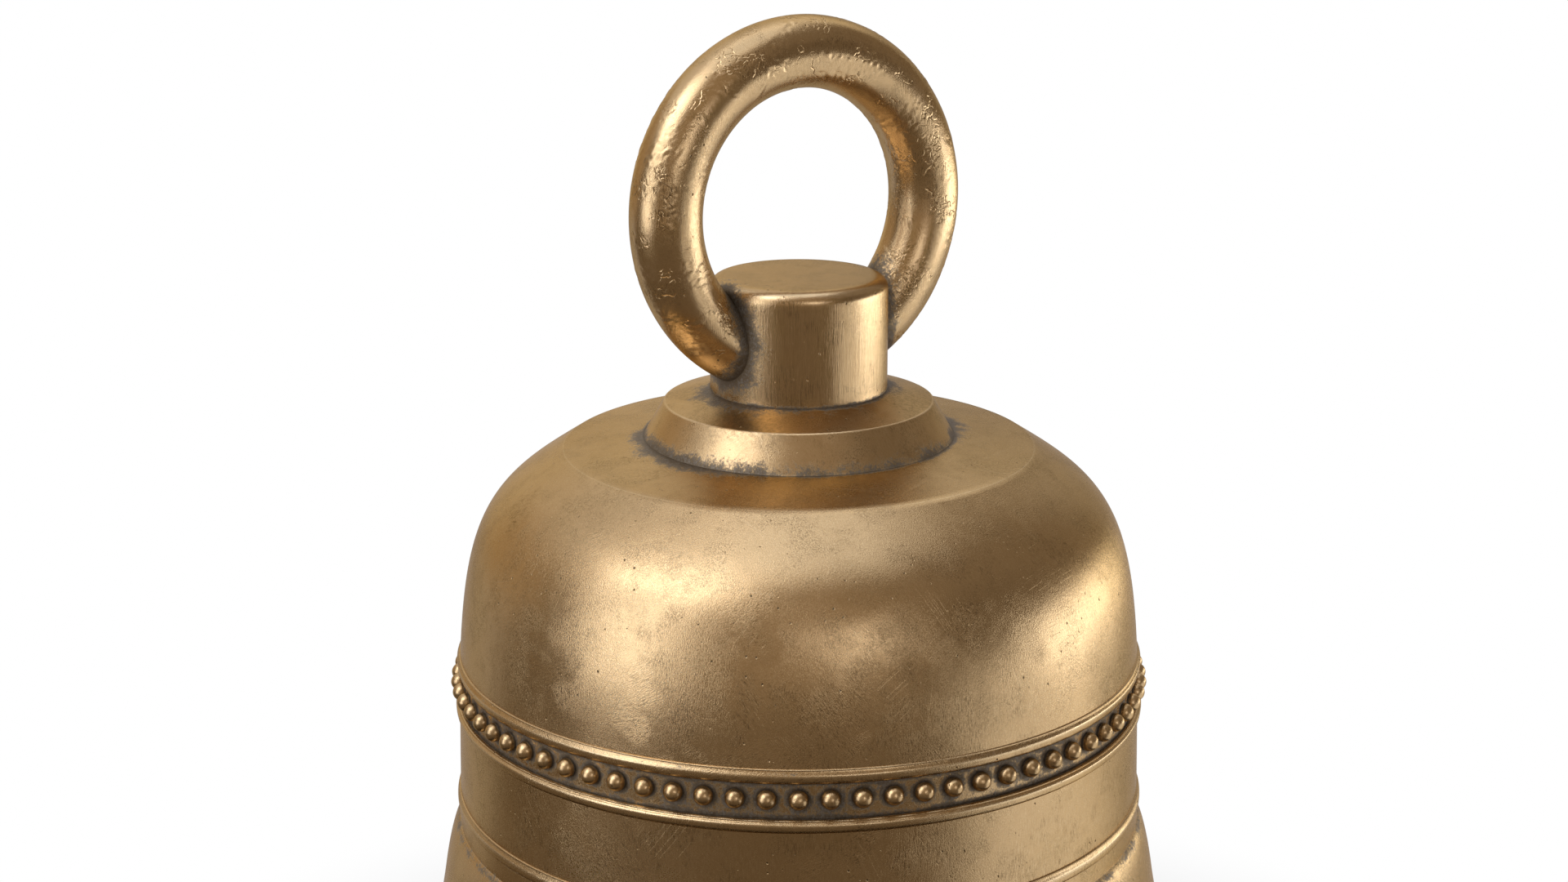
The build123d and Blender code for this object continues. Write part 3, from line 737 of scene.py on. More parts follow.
outline += straight(SEAT_EDGE, at(STUD_HOLE, SEAT_HEIGHT), 2)
outline += straight(at(STUD_HOLE, SEAT_HEIGHT), at(STUD_HOLE, CROWN_UNDERSIDE), 1)
outer_points = len(outline)
print("the outside has", outer_points, "points")

# %% Half section of the casting, inside
core_crown, core_crown_pull = at(CORE_CROWN_RADIUS, CROWN_UNDERSIDE), at(CORE_CROWN_PULL, CROWN_UNDERSIDE)
outline += straight(at(STUD_HOLE, CROWN_UNDERSIDE), core_crown, 6)
outline += pulled(core_crown, core_crown_pull, CORE_SHOULDER + step(94, 40.7), CORE_SHOULDER, 14)
outline += straight(CORE_SHOULDER, CORE_WAIST, 10)
outline += pulled(CORE_WAIST, CORE_WAIST + step(-81.2, 43.9), CORE_BOW_PULL, CORE_LIP, 20)
outline += straight(CORE_LIP, at(LIP_RADIUS, 0), 2)
print("the whole section has", len(outline), "points")


# %% Sweep
SPOKES, SHARP_EDGE = 320, math.radians(32)
BROAD_STRAY, NARROW_STRAY = 0.07, 0.025
BROAD_PER_METRE, NARROW_PER_METRE = 19, 55


def waviness(point):
    """How far cast metal strays from its true surface, in millimetres, at a point in metres."""
    broad = noise.noise(point * BROAD_PER_METRE)
    narrow = noise.noise(point * NARROW_PER_METRE + Vector((7, 3, 5)))
    return BROAD_STRAY * broad + NARROW_STRAY * narrow


def sweep_section(name, points, spokes, stray, poles=()):
    """Turns a half section, given in millimetres, and lets the surface stray along its normal.
    The section closes on itself, or starts and ends near the axis, where two poles close it."""
    count = len(points)
    outward = []
    for k in range(count):
        if poles:
            run = points[min(k + 1, count - 1)] - points[max(k - 1, 0)]
        else:
            run = points[(k + 1) % count] - points[k - 1]
        outward.append(Vector((run.y, -run.x)).normalized())
    verts = []
    for s in range(spokes):
        turn = math.tau * s / spokes
        cosine, sine = math.cos(turn), math.sin(turn)
        for point, out in zip(points, outward):
            place = Vector((point.x * cosine, point.x * sine, point.y)) * MM
            move = stray(place, point, out)
            radius, height = point.x + out.x * move, point.y + out.y * move
            verts.append((radius * cosine * MM, radius * sine * MM, height * MM))
    faces = []
    for s in range(spokes):
        a, b = s * count, (s + 1) % spokes * count
        for k in range(count - 1 if poles else count):
            n = (k + 1) % count
            faces.append((a + k, b + k, b + n, a + n))
        if poles:
            faces.append((len(verts), b, a))
            faces.append((len(verts) + 1, a + count - 1, b + count - 1))
    verts += [(0, 0, height * MM) for height in poles]
    piece = new_piece(name, verts, faces)
    piece.data.shade_smooth()
    piece.data.set_sharp_from_angle(angle=SHARP_EDGE)
    print(name, "has", len(faces), "faces")
    return piece


LIP_FADE, SEAT_RADIUS, SEAT_FADE = 12, 66, 8
CORE_STRAY, LIP_TRIM = 2.2, 0.05


def casting_stray(place, point, out):
    """Waviness of the casting, which fades out at the lip and under the collar, where it was ground flat.
    The inside strays more, because the core that shaped it was rougher than the mould. At the widest part
    of the mouth the metal only ever strays inwards."""
    on_crown, inside = point.y > 325, out.x < -0.2 and point.x > 50
    lip_fade = min(1, point.y / LIP_FADE)
    seat_fade = min(1, abs(point.x - SEAT_RADIUS) / SEAT_FADE) if on_crown else 1
    move = waviness(place) * lip_fade * seat_fade * (CORE_STRAY if inside else 1)
    return min(0, move) - LIP_TRIM if point.x > 202 else move


casting = sweep_section("casting", outline, SPOKES, casting_stray)
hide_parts("bell_casting")
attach(casting, "bell")


# %% Places on the casting that a finish asks for
BEAD_COUNT, BEAD_SIZE, BEAD_STAND, BEAD_HEIGHT = 75, 3.9, 5.0, 235.1


def from_beads(f):
    """How far a point on the floor of the recess is from the nearest bead's middle, in metres."""
    turn = f.calc("DIVIDE", f.calc("ARCTAN2", f.y, f.x), math.tau / BEAD_COUNT)
    turn = f.plus(turn, BEAD_COUNT / 4)
    off = f.minus(turn, f.calc("ROUND", turn))
    off = f.times(off, math.tau / BEAD_COUNT * RECESS_RADIUS * MM)
    return f.length(off, f.minus(f.z, BEAD_HEIGHT * MM))


def under_ring_ends(f):
    """1 in the two directions where the ring enters the boss, from which water drips."""
    return f.ramp(f.calc("DIVIDE", f.calc("ABSOLUTE", f.x), f.radius), 0.55, 0.97)


def on_crown_top(f):
    """1 on the top of the crown, near the collar."""
    return f.ramp(f.z, 0.334, 0.337)


def behind_band(f):
    """1 on the floor of the recess, which lies deeper than the band's face."""
    return f.ramp(f.radius, 0.1479, 0.1473)


def level_lines(f, rows):
    """Soft lines round the bell. Each row is a line's height and half width in metres, and its strength."""
    return f.most(*(f.times(f.near(f.z, height, reach), strength) for height, reach, strength in rows))


CREASE_LINES = (
    (0.0665, 0.0070, 0.55),  # between the two wires of the bow
    (0.1700, 0.0052, 0.62),  # under the strip at the top of the waist
    (0.1803, 0.0020, 0.4),  # foot of the wire below the band
    (0.2215, 0.0016, 0.1),  # foot of the wire below the beads
    (0.2460, 0.0014, 0.35),  # cove of the wire above the beads
)
RUBBED_LINES = (
    (0.0612, 0.0020, 1.0),  # crest of the wider wire of the bow
    (0.0712, 0.0014, 1.0),  # crest of the thin wire of the bow
    (0.1714, 0.0009, 0.8),  # lower edge of the strip
    (0.1836, 0.0016, 1.0),  # crest of the wire below the band
    (0.2250, 0.0014, 1.0),  # crest of the wire below the beads
    (0.2266, 0.0006, 0.8),  # thin edge of the wire below the beads
    (0.2450, 0.0014, 1.0),  # crest of the wire above the beads
    (0.2473, 0.0006, 0.8),  # thin edge of the wire above the beads
)
COLLAR_FOOT = 0.0665


# %% Hollows, ridges, joints and painted shade of the casting
def casting_hollows(f):
    """Creases of the casting: round the collar, in the recess and along the raised wires."""
    by_collar = f.near(f.radius, COLLAR_FOOT, 0.0035)
    drip_patch = f.times(f.near(f.radius, COLLAR_FOOT, 0.013), f.between(under_ring_ends(f), 0.15, 1.0))
    by_collar = f.times(f.most(by_collar, drip_patch), on_crown_top(f))
    by_bead = f.near(from_beads(f), (BEAD_SIZE + 0.4) * MM, 0.0021)
    in_corners = f.most(f.near(f.z, 0.2270, 0.0022), f.near(f.z, 0.2414, 0.0022), by_bead)
    in_recess = f.times(behind_band(f), f.ramp(f.z, 0.2424, 0.2417))
    in_recess = f.times(in_recess, f.between(in_corners, 0.47, 0.95))
    return f.most(by_collar, level_lines(f, CREASE_LINES), in_recess)


def casting_ridges(f):
    """Tops of the raised wires, the edge of the crown disc and the rim of the mouth."""
    rims = f.most(f.near(f.radius, 0.1007, 0.0009), f.near(f.radius, 0.2040, 0.0030))
    return f.most(level_lines(f, RUBBED_LINES), f.times(rims, 0.7))


def casting_joints_and_painted_shade(f):
    """Thin dark lines: the joints round each bead and round the collar's foot, and painted shade along the
    corner under the wire over the recess.
    """
    round_bead = f.times(f.near(from_beads(f), BEAD_SIZE * MM, 0.0006), behind_band(f))
    # painted shade: a dark line along the corner where the wire over the recess meets the recess floor
    painted_shade_under_wire = f.near(f.z, 0.2415, 0.0005)
    under_collar = f.times(f.near(f.radius, 0.0662, 0.0006), on_crown_top(f))
    return f.most(round_bead, painted_shade_under_wire, under_collar)


scoured_bronze = bronze(
    "scoured_bronze", casting_hollows, casting_ridges, casting_joints_and_painted_shade,
    rough=0.26, grain=1.1, stains=0.4, scratches=0.6,
)
casting.data.materials.append(scoured_bronze)


# %% [markdown]
# ## Inside of the casting
#
# The inside stays as the core of loam left it: a dull brown skin with the core's grain and a green breath of
# verdigris where damp sits. Only low down has a lathe cut it, in fine rings, to tune the bell. On two
# opposite spots of the bow the clapper has beaten it bright. All of this is a second finish on the same
# piece, and the section already knows which of its faces are inside.

# %% Finish of the inside
CORE_BROWN, CORE_DARK, VERDIGRIS = (0.36, 0.25, 0.14), (0.19, 0.135, 0.088), (0.17, 0.2, 0.15)
TUNED_HEIGHT, TOOL_PITCH = 0.112, 0.0011
STRIKE_HEIGHT, STRIKE_SIZE = 0.076, 0.010


def core_skin():
    """Dull bronze as it came from the core, with turned rings low down and two beaten spots."""
    f = Finish("core_skin")
    grit, lumps = f.cloud(0.9, 4, 0.75), f.cloud(6, 3, 0.6)
    wander = f.times(f.cloud(30, 2), 0.8 * MM)
    tool = f.calc("SINE", f.times(f.plus(f.z, wander), math.tau / TOOL_PITCH))
    tuned = f.ramp(f.plus(f.z, f.times(lumps, 4 * MM)), TUNED_HEIGHT, TUNED_HEIGHT - 0.003)
    away = f.length(f.y, f.minus(f.z, STRIKE_HEIGHT))
    ragged = f.plus(away, f.times(f.minus(f.cloud(5, 4, 0.7), 0.5), 12 * MM))
    beaten = f.ramp(ragged, STRIKE_SIZE * 1.3, STRIKE_SIZE * 0.7)

    tone = f.mix(f.ramp(lumps, 0.35, 0.68), CORE_BROWN, CORE_DARK)
    tone = f.mix(f.times(f.ramp(grit, 0.5, 0.7), 0.5), tone, CORE_DARK)
    tone = f.mix(f.times(tuned, f.between(f.cloud(20, 3, 0.6), 0.35, 0.85)), tone, BROWN)
    damp = f.times(f.ramp(f.cloud(28, 4, 0.7), 0.52, 0.64), f.ramp(f.cloud(2.2, 4, 0.75), 0.44, 0.6))
    tone = f.mix(f.times(damp, 0.6), tone, VERDIGRIS)
    tone = f.mix(beaten, tone, RUBBED)
    f.link(tone, f.shader.inputs["Base Color"])
    f.link(f.between(damp, 0.9, 0.3), f.shader.inputs["Metallic"])
    dull = f.minus(f.between(grit, 0.42, 0.6), f.times(tuned, 0.12))
    f.link(f.minus(dull, f.times(beaten, 0.12)), f.shader.inputs["Roughness"])

    plain = f.minus(1.0, f.most(tuned, beaten))
    normal = f.relief(f.times(lumps, plain), 0.9)
    normal = f.relief(f.times(grit, f.between(plain, 0.25, 1.0)), 0.22, normal)
    normal = f.relief(f.times(f.times(tool, 0.5), tuned), 0.07, normal)
    dented = f.times(f.cloud(3.4, 2, 0.5), beaten)
    f.link(f.relief(dented, 0.5, normal), f.shader.inputs["Normal"])
    return f.done()


casting.data.materials.append(core_skin())
face_finish = [int(k >= outer_points) for k in range(len(outline))] * SPOKES
casting.data.polygons.foreach_set("material_index", face_finish)
print("inside of the casting:", sum(face_finish), "of", len(face_finish), "faces")


# %% [markdown]
# ## Beads
#
# The beads were pressed into the mould by hand, one punch mark after another, so no two are quite alike.
# Each is a little more than half a ball, with its own small dents, made as a grid of rings so that its foot
# meets the floor of the recess in a clean circle.

# %% Row of beads
BEAD_RINGS, BEAD_SPOKES = 11, 22
BEAD_DENT, BEAD_TRIM = 0.10, 0.02


def bead_points(number):
    """One bead on +X in millimetres, with dents of its own."""
    centre = Vector((RECESS_RADIUS + BEAD_STAND - BEAD_SIZE, 0, BEAD_HEIGHT))
    own_dents = Vector((number * 3.7, 0, 0))
    foot_angle = math.acos((BEAD_SIZE - BEAD_STAND) / BEAD_SIZE)
    points = [centre + Vector((BEAD_SIZE, 0, 0))]
    for r in range(1, BEAD_RINGS + 1):
        lean = foot_angle * r / BEAD_RINGS
        for s in range(BEAD_SPOKES):
            turn = math.tau * s / BEAD_SPOKES
            ray = Vector((math.cos(lean), math.sin(lean) * math.cos(turn), math.sin(lean) * math.sin(turn)))
            dent = noise.noise(ray * 1.3 + own_dents)
            points.append(centre + ray * (BEAD_SIZE - BEAD_DENT * abs(dent) - BEAD_TRIM))
    return points


bead_verts, bead_faces = [], []
for number in range(BEAD_COUNT):
    turn = math.tau * number / BEAD_COUNT - math.pi / 2
    cosine, sine = math.cos(turn), math.sin(turn)
    first = len(bead_verts)
    for p in bead_points(number):
        bead_verts.append(((p.x * cosine - p.y * sine) * MM, (p.x * sine + p.y * cosine) * MM, p.z * MM))
    for s in range(BEAD_SPOKES):
        n = (s + 1) % BEAD_SPOKES
        bead_faces.append((first, first + 1 + s, first + 1 + n))
        for r in range(BEAD_RINGS - 1):
            a = first + 1 + r * BEAD_SPOKES
            b = a + BEAD_SPOKES
            bead_faces.append((a + s, b + s, b + n, a + n))
    last = first + 1 + (BEAD_RINGS - 1) * BEAD_SPOKES
    bead_faces.append(tuple(last + s for s in reversed(range(BEAD_SPOKES))))
beads = new_piece("beads", bead_verts, bead_faces)
beads.data.shade_smooth()
beads.data.set_sharp_from_angle(angle=math.radians(60))
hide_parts("bead_row")
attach(beads, "bell")
print("beads:", BEAD_COUNT, "with", len(bead_faces), "faces in all")


# %% Finish of the beads
def bead_hollows(f):
    """The foot of each bead, where it meets the recess."""
    return f.times(f.ramp(f.radius, 0.1480, 0.1467), 0.8)


beads.data.materials.append(bronze("bead_bronze", bead_hollows, rough=0.3, grain=0.4, pits=0.3))


# %% [markdown]
# ## The hanging ring
#
# The ring is a bar bent round and closed, and hooks have worked on it for years. Its skin has islands of
# crumpled metal, short folds that were hammered down, and long smooth runs between them. These stand up to
# a quarter of a millimetre proud and sink up to half of one, so they are real relief on a fine mesh and not
# only a pattern in the finish.

# %% Ring with its dents
RING_SIZE, BAR_SIZE, RING_HEIGHT = 64.5, 15.0, 438.7
RING_SPOKES, BAR_SPOKES = 704, 140
FOLDS, SCARS = 150, 7
FURROW_SHARE, FURROW_ASIDE = 0.6, 1.6
ISLAND_SIZE, CRUMPLE_SIZE, BROAD_SIZE = 13.0, 3.0, 24.0
CRUMPLE_DENT, BROAD_DENT = 0.17, 0.12
DEEPEST, HIGHEST = -0.5, 0.25
rng = np.random.default_rng(11)

round_ring = np.linspace(0, math.tau, RING_SPOKES, endpoint=False)[:, None]
round_bar = np.linspace(0, math.tau, BAR_SPOKES, endpoint=False)[None, :]
arc_along = round_ring * RING_SIZE + 0 * round_bar
arc_across = round_bar * BAR_SIZE + 0 * round_ring
around_ring, around_bar = math.tau * RING_SIZE, math.tau * BAR_SIZE


def wrapped(distance, length):
    """The shorter way round a closed loop."""
    return (distance + length / 2) % length - length / 2


def knock(lengths, widths, heights, bends):
    """One short fold or longer scar: a low ridge with a furrow beside it, in millimetres."""
    middle_along, middle_across = rng.uniform(0, around_ring), rng.uniform(0, around_bar)
    heading, bend = rng.uniform(0, math.pi), rng.normal(0, bends)
    length, width = rng.uniform(*lengths), rng.uniform(*widths)
    height = rng.uniform(*heights) * rng.choice((-1, 1, -1))
    u = wrapped(arc_along - middle_along, around_ring)
    v = wrapped(arc_across - middle_across, around_bar)
    run = u * math.cos(heading) + v * math.sin(heading)
    side = -u * math.sin(heading) + v * math.cos(heading) - bend * run**2
    fade = np.clip(1 - (run / length) ** 2, 0, 1) ** 1.5
    ridge, furrow = np.exp(-((side / width) ** 2)), np.exp(-(((side - FURROW_ASIDE * width) / width) ** 2))
    return height * fade * (ridge - FURROW_SHARE * furrow)


folds = sum(knock((1.2, 5), (0.4, 0.8), (0.06, 0.17), 0.08) for _ in range(FOLDS))
scars = sum(knock((6, 13), (0.5, 0.9), (0.07, 0.15), 0.03) for _ in range(SCARS))

ring_verts = []
for i in range(RING_SPOKES):
    a = round_ring[i, 0]
    for j in range(BAR_SPOKES):
        b = round_bar[0, j]
        out = Vector((math.cos(a) * math.cos(b), math.sin(b), math.sin(a) * math.cos(b)))
        true = Vector((math.cos(a) * RING_SIZE, 0, math.sin(a) * RING_SIZE)) + out * BAR_SIZE
        patch = noise.noise(true / ISLAND_SIZE + Vector((3, 1, 4)))
        island, about = min(1, max(0, (patch - 0.13) / 0.13)), min(1, max(0.08, (patch + 0.06) / 0.2))
        place = true / CRUMPLE_SIZE + Vector((8, 2, 6))
        crumple = noise.ridged_multi_fractal(place, 0.9, 2.2, 3, 1.0, 2.0) - 0.9
        broad = noise.noise(true / BROAD_SIZE)
        worn = about * float(folds[i, j]) + float(scars[i, j])
        move = BROAD_DENT * broad - CRUMPLE_DENT * island * crumple + worn
        p = true + out * max(DEEPEST, min(HIGHEST, move))
        # nothing stands above the true top of the ring
        height = min(p.z, RING_SIZE + BAR_SIZE) + RING_HEIGHT
        ring_verts.append((p.x * MM, p.y * MM, height * MM))
ring_faces = []
for i in range(RING_SPOKES):
    a, b = i * BAR_SPOKES, (i + 1) % RING_SPOKES * BAR_SPOKES
    for j in range(BAR_SPOKES):
        n = (j + 1) % BAR_SPOKES
        ring_faces.append((a + j, a + n, b + n, b + j))
ring = new_piece("ring", ring_verts, ring_faces)
ring.data.shade_smooth()
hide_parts("hanging_ring")
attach(ring, "ring")
print("ring has", len(ring_faces), "faces,", FOLDS, "folds and", SCARS, "scars")

# %% [markdown]
# ## The boss
#
# The boss was turned from solid bronze, with a generous round on its top edge. Its stud runs down through
# the crown and carries the thread for the nuts. It is swept like the casting. The thread is a groove that
# climbs one pitch for each turn, and the bore for the ring is cut last, with a plain ring as the cutter.

# %% Half section of the boss
BOSS_RADIUS, BOSS_BASE, BOSS_HIGH, BOSS_ROUND = 37.8, 361.0, 409.7, 5.5
SPIGOT_RADIUS, SPIGOT_END, STUD_RADIUS, STUD_END, STUD_BEVEL = 24.0, 346.0, 10.0, 283.0, 1.5
THREAD_TOP, THREAD_PITCH, THREAD_DEPTH, THREAD_FADE = 318.0, 2.5, 0.95, 4
BOSS_STRAY, BOSS_TRIM, BOSS_TOP_TRIM = 0.6, 0.03, 0.04
BORE_GAP, BOSS_SPOKES = 0.3, 160
BORE_SIZE = BAR_SIZE + BORE_GAP

round_centre = at(BOSS_RADIUS - BOSS_ROUND, BOSS_HIGH - BOSS_ROUND)
bevel_in, bevel_up = at(STUD_RADIUS - STUD_BEVEL, STUD_END), at(STUD_RADIUS, STUD_END + STUD_BEVEL)
boss_section = straight(at(1, STUD_END), bevel_in, 3)
boss_section += straight(bevel_in, bevel_up, 3)
boss_section += straight(bevel_up, at(STUD_RADIUS, THREAD_TOP), 108)
boss_section += straight(at(STUD_RADIUS, THREAD_TOP), at(STUD_RADIUS, SPIGOT_END), 4)
boss_section += straight(at(STUD_RADIUS, SPIGOT_END), at(SPIGOT_RADIUS, SPIGOT_END), 2)
boss_section += straight(at(SPIGOT_RADIUS, SPIGOT_END), at(SPIGOT_RADIUS, BOSS_BASE), 4)
boss_section += straight(at(SPIGOT_RADIUS, BOSS_BASE), at(BOSS_RADIUS, BOSS_BASE), 3)
boss_section += straight(at(BOSS_RADIUS, BOSS_BASE), at(BOSS_RADIUS, BOSS_HIGH - BOSS_ROUND), 24)
boss_section += [round_centre + step(angle, BOSS_ROUND) for angle in range(0, 90, 9)]
boss_section += straight(at(BOSS_RADIUS - BOSS_ROUND, BOSS_HIGH), at(2, BOSS_HIGH), 14)
print("boss section has", len(boss_section), "points")


def boss_stray(place, point, out):
    """The groove of the thread on the stud, and a little waviness on the part that is seen."""
    if point.y > BOSS_BASE + 1:
        return min(0, BOSS_STRAY * waviness(place) - BOSS_TRIM)
    on_stud = STUD_RADIUS - 0.01 < point.x < STUD_RADIUS + 0.01 and STUD_END < point.y <= THREAD_TOP
    if not on_stud:
        return 0
    turn = math.atan2(place.y, place.x) / math.tau
    across = abs((point.y / THREAD_PITCH - turn) % 1 - 0.5) * 2
    fade = min(1, (THREAD_TOP - point.y) / THREAD_FADE)
    return -THREAD_DEPTH * max(0, min(1, 1.25 - 1.4 * across)) * fade


# %% Boss with its thread and bore
boss_poles = STUD_END, BOSS_HIGH - BOSS_TOP_TRIM
boss = sweep_section("boss", boss_section, BOSS_SPOKES, boss_stray, boss_poles)


def plain_ring(name, size, bar, spokes, bar_spokes):
    """A smooth ring, upright in the plane of X and Z, in millimetres."""
    points, faces = [], []
    for i in range(spokes):
        a = math.tau * i / spokes
        for j in range(bar_spokes):
            b = math.tau * j / bar_spokes
            reach = size + bar * math.cos(b)
            height = reach * math.sin(a) + RING_HEIGHT
            points.append((reach * math.cos(a) * MM, bar * math.sin(b) * MM, height * MM))
            n, m = (i + 1) % spokes * bar_spokes, (j + 1) % bar_spokes
            faces.append((i * bar_spokes + j, n + j, n + m, i * bar_spokes + m))
    return new_piece(name, points, faces)


cutter = plain_ring("cutter", RING_SIZE, BORE_SIZE, 240, 72)
cut = boss.modifiers.new("bore", "BOOLEAN")
cut.operation, cut.solver, cut.object = "DIFFERENCE", "EXACT", cutter
bored = bpy.data.meshes.new_from_object(boss.evaluated_get(bpy.context.evaluated_depsgraph_get()))
boss.modifiers.clear()
boss.data = bored
bpy.data.objects.remove(cutter)
boss.data.shade_smooth()
boss.data.set_sharp_from_angle(angle=SHARP_EDGE)
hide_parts("crown_boss")
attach(boss, "bell")
print("boss has", len(boss.data.polygons), "faces once bored")

# %% [markdown]
# ## Where the ring and the boss hide dirt
#
# Grime gathers where the bar goes into the boss. Both pieces find that place by distance: the boss asks
# how far a point is from the bar's skin, and the bar asks how far it is from the boss's side. The collar
# carries grime at its foot and round the boss, most of all below the two ends of the bar.

# %% Finishes of ring, boss and collar
BOSS_SIZE, BOSS_LOW = BOSS_RADIUS * MM, BOSS_BASE * MM


def ring_hollows(f):
    """Closeness to the side of the boss, below its top."""
    outside = f.minus(f.radius, BOSS_SIZE)
    by_boss = f.near(outside, 0.0, 0.011)
    return f.times(by_boss, f.ramp(f.z, 0.432, 0.405))


def gap_to_bar(f):
    """Distance from the bar's skin, in metres."""
    up = f.minus(f.z, RING_HEIGHT * MM)
    off = f.minus(f.length(f.x, up), RING_SIZE * MM)
    return f.minus(f.length(off, f.y), BAR_SIZE * MM)


def boss_hollows(f):
    """Closeness to the bar, and to the collar at the boss's foot."""
    by_bar = f.near(gap_to_bar(f), 0.0, 0.012)
    return f.most(by_bar, f.times(f.near(f.z, BOSS_LOW, 0.0022), 0.8))


def collar_hollows(f):
    """The foot of the collar on the crown, and its top where the boss stands, most below the ring's ends."""
    drips = under_ring_ends(f)
    by_foot = f.times(f.near(f.z, SEAT_HEIGHT * MM, 0.0080), f.between(drips, 0.72, 0.95))
    by_boss = f.most(
        f.near(f.radius, BOSS_SIZE, 0.0040),
        f.times(f.near(f.radius, BOSS_SIZE, 0.0150), f.between(drips, 0.4, 1.0)),
    )
    return f.most(by_foot, f.times(by_boss, f.ramp(f.z, 0.3555, 0.3570)))


def collar_ridges(f):
    """The collar's upper edge, and a thin bright line where its foot rubs on the crown."""
    upper_edge = f.times(f.near(f.radius, 0.0572, 0.0012), 0.8)
    return f.most(upper_edge, f.near(f.z, 0.3407, 0.0007))


def boss_ridges(f):
    """The boss's upper edge."""
    return f.times(f.near(f.radius, 0.0362, 0.0020), f.ramp(f.z, 0.4030, 0.4060))


rubbed_bronze = bronze(
    "rubbed_bronze", ring_hollows,
    rough=0.25, grain=0.6, pits=0.9, stains=0.4, scratches=0.3, knocks=0.6,
)
ring.data.materials.append(rubbed_bronze)
boss_bronze = bronze(
    "boss_bronze", boss_hollows, boss_ridges,
    brush=brushed_upright, rough=0.24, stains=0.25, scratches=0.0,
)
boss.data.materials.append(boss_bronze)


def dress(node, material):
    """Gives a node of the model its finish."""
    slots = bpy.data.objects[node].data.materials
    slots.clear()
    slots.append(material)


collar_bronze = bronze("collar_bronze", collar_hollows, collar_ridges, rough=0.29, grain=0.9, pits=0.6)
dress("crown_collar", collar_bronze)


# %% [markdown]
# ## Leather of the pads
#
# Two discs of sole leather keep bronze from grinding on bronze and iron. Leather shows small rounded cells
# with creases between them, is darkened with grease, and its cut edge is drier and paler. The cells come
# from a pattern of scattered points, which is how the pores of skin lie.

# %% Pressed leather
CROWN_PAD_RADIUS, INNER_PAD_RADIUS = 60.0, 36.0
GREASED_LEATHER, LEATHER = (0.055, 0.033, 0.02), (0.11, 0.068, 0.04)
LEATHER_CREASE, CUT_LEATHER = (0.028, 0.018, 0.012), (0.2, 0.135, 0.085)


def pressed_leather(name, size):
    """Greased leather. size is the radius of the disc in millimetres, whose cut edge is drier."""
    f = Finish(name)
    pores = f.node("ShaderNodeTexVoronoi")
    pores.feature = "DISTANCE_TO_EDGE"
    f.link(f.stroked(1.3, 1.3), pores.inputs["Vector"])
    pores.inputs["Scale"].default_value = 1.0
    cell = f.ramp(pores.outputs["Distance"], 0.0, 0.22)
    mottle = f.cloud(9, 4, 0.65)
    edge = f.ramp(f.plus(f.radius, f.times(mottle, 0.4 * MM)), (size - 0.6) * MM, (size - 0.1) * MM)
    tone = f.mix(f.ramp(mottle, 0.35, 0.7), GREASED_LEATHER, LEATHER)
    tone = f.mix(f.minus(1.0, cell), tone, LEATHER_CREASE)
    tone = f.mix(f.times(edge, 0.7), tone, CUT_LEATHER)
    f.link(tone, f.shader.inputs["Base Color"])
    f.link(f.between(mottle, 0.45, 0.75), f.shader.inputs["Roughness"])
    normal = f.relief(cell, 0.12)
    f.link(f.relief(f.cloud(0.5, 3, 0.7), 0.05, normal), f.shader.inputs["Normal"])
    return f.done()


dress("crown_pad", pressed_leather("crown_leather", CROWN_PAD_RADIUS))
dress("inner_pad", pressed_leather("inner_leather", INNER_PAD_RADIUS))

# %% [markdown]
# ## Blackened iron of the clapper
#
# The clapper and the fork that carries it were forged, so their skin is hammered into shallow flats and
# covered in black scale. Rust comes through in freckles, and the scale is gone where things rub: round the
# pin, and on the two sides of the ball that strike the bell. Each piece says where it is rubbed.

# %% Forged iron
SCALE_BLACK, SCALE_GREY = (0.05, 0.047, 0.045), (0.115, 0.108, 0.104)
RUST, BARE_IRON = (0.17, 0.075, 0.035), (0.33, 0.315, 0.3)
PIVOT_HEIGHT = 258.0


def from_pin(f):
    """Distance from the middle line of the pivot pin, in metres."""
    return f.length(f.x, f.minus(f.z, PIVOT_HEIGHT * MM))


def forged_iron(name, rubbed):
    """Hammered black iron. rubbed is a function of the finish that says, from 0 to 1, where it is bare."""
    f = Finish(name)
    hammer = f.node("ShaderNodeTexVoronoi")
    hammer.feature = "SMOOTH_F1"
    f.link(f.stroked(8, 11), hammer.inputs["Vector"])
    hammer.inputs["Scale"].default_value = 1.0
    hammer.inputs["Smoothness"].default_value = 0.35
    scale_skin, freckle = f.cloud(3.2, 4, 0.7), f.cloud(1.1, 4, 0.75)
    crumbs = f.minus(f.cloud(1.6, 4, 0.75), 0.5)
    bare = f.ramp(f.plus(rubbed(f), f.times(crumbs, 1.1)), 0.42, 0.72)
    rusty = f.times(f.ramp(f.cloud(14, 3, 0.6), 0.48, 0.62), f.ramp(freckle, 0.46, 0.6))
    tone = f.mix(f.ramp(scale_skin, 0.4, 0.65), SCALE_BLACK, SCALE_GREY)
    tone = f.mix(f.times(rusty, 0.75), tone, RUST)
    tone = f.mix(bare, tone, BARE_IRON)
    f.link(tone, f.shader.inputs["Base Color"])
    f.link(f.between(rusty, 0.85, 0.15), f.shader.inputs["Metallic"])
    dull = f.plus(f.between(scale_skin, 0.36, 0.55), f.times(rusty, 0.25))
    f.link(f.minus(dull, f.times(bare, 0.16)), f.shader.inputs["Roughness"])
    normal = f.relief(hammer.outputs["Distance"], 0.5)
    normal = f.relief(scale_skin, 0.14, normal)
    normal = f.relief(f.times(freckle, f.between(bare, 1.0, 0.2)), 0.07, normal)
    f.link(normal, f.shader.inputs["Normal"])
    return f.done()


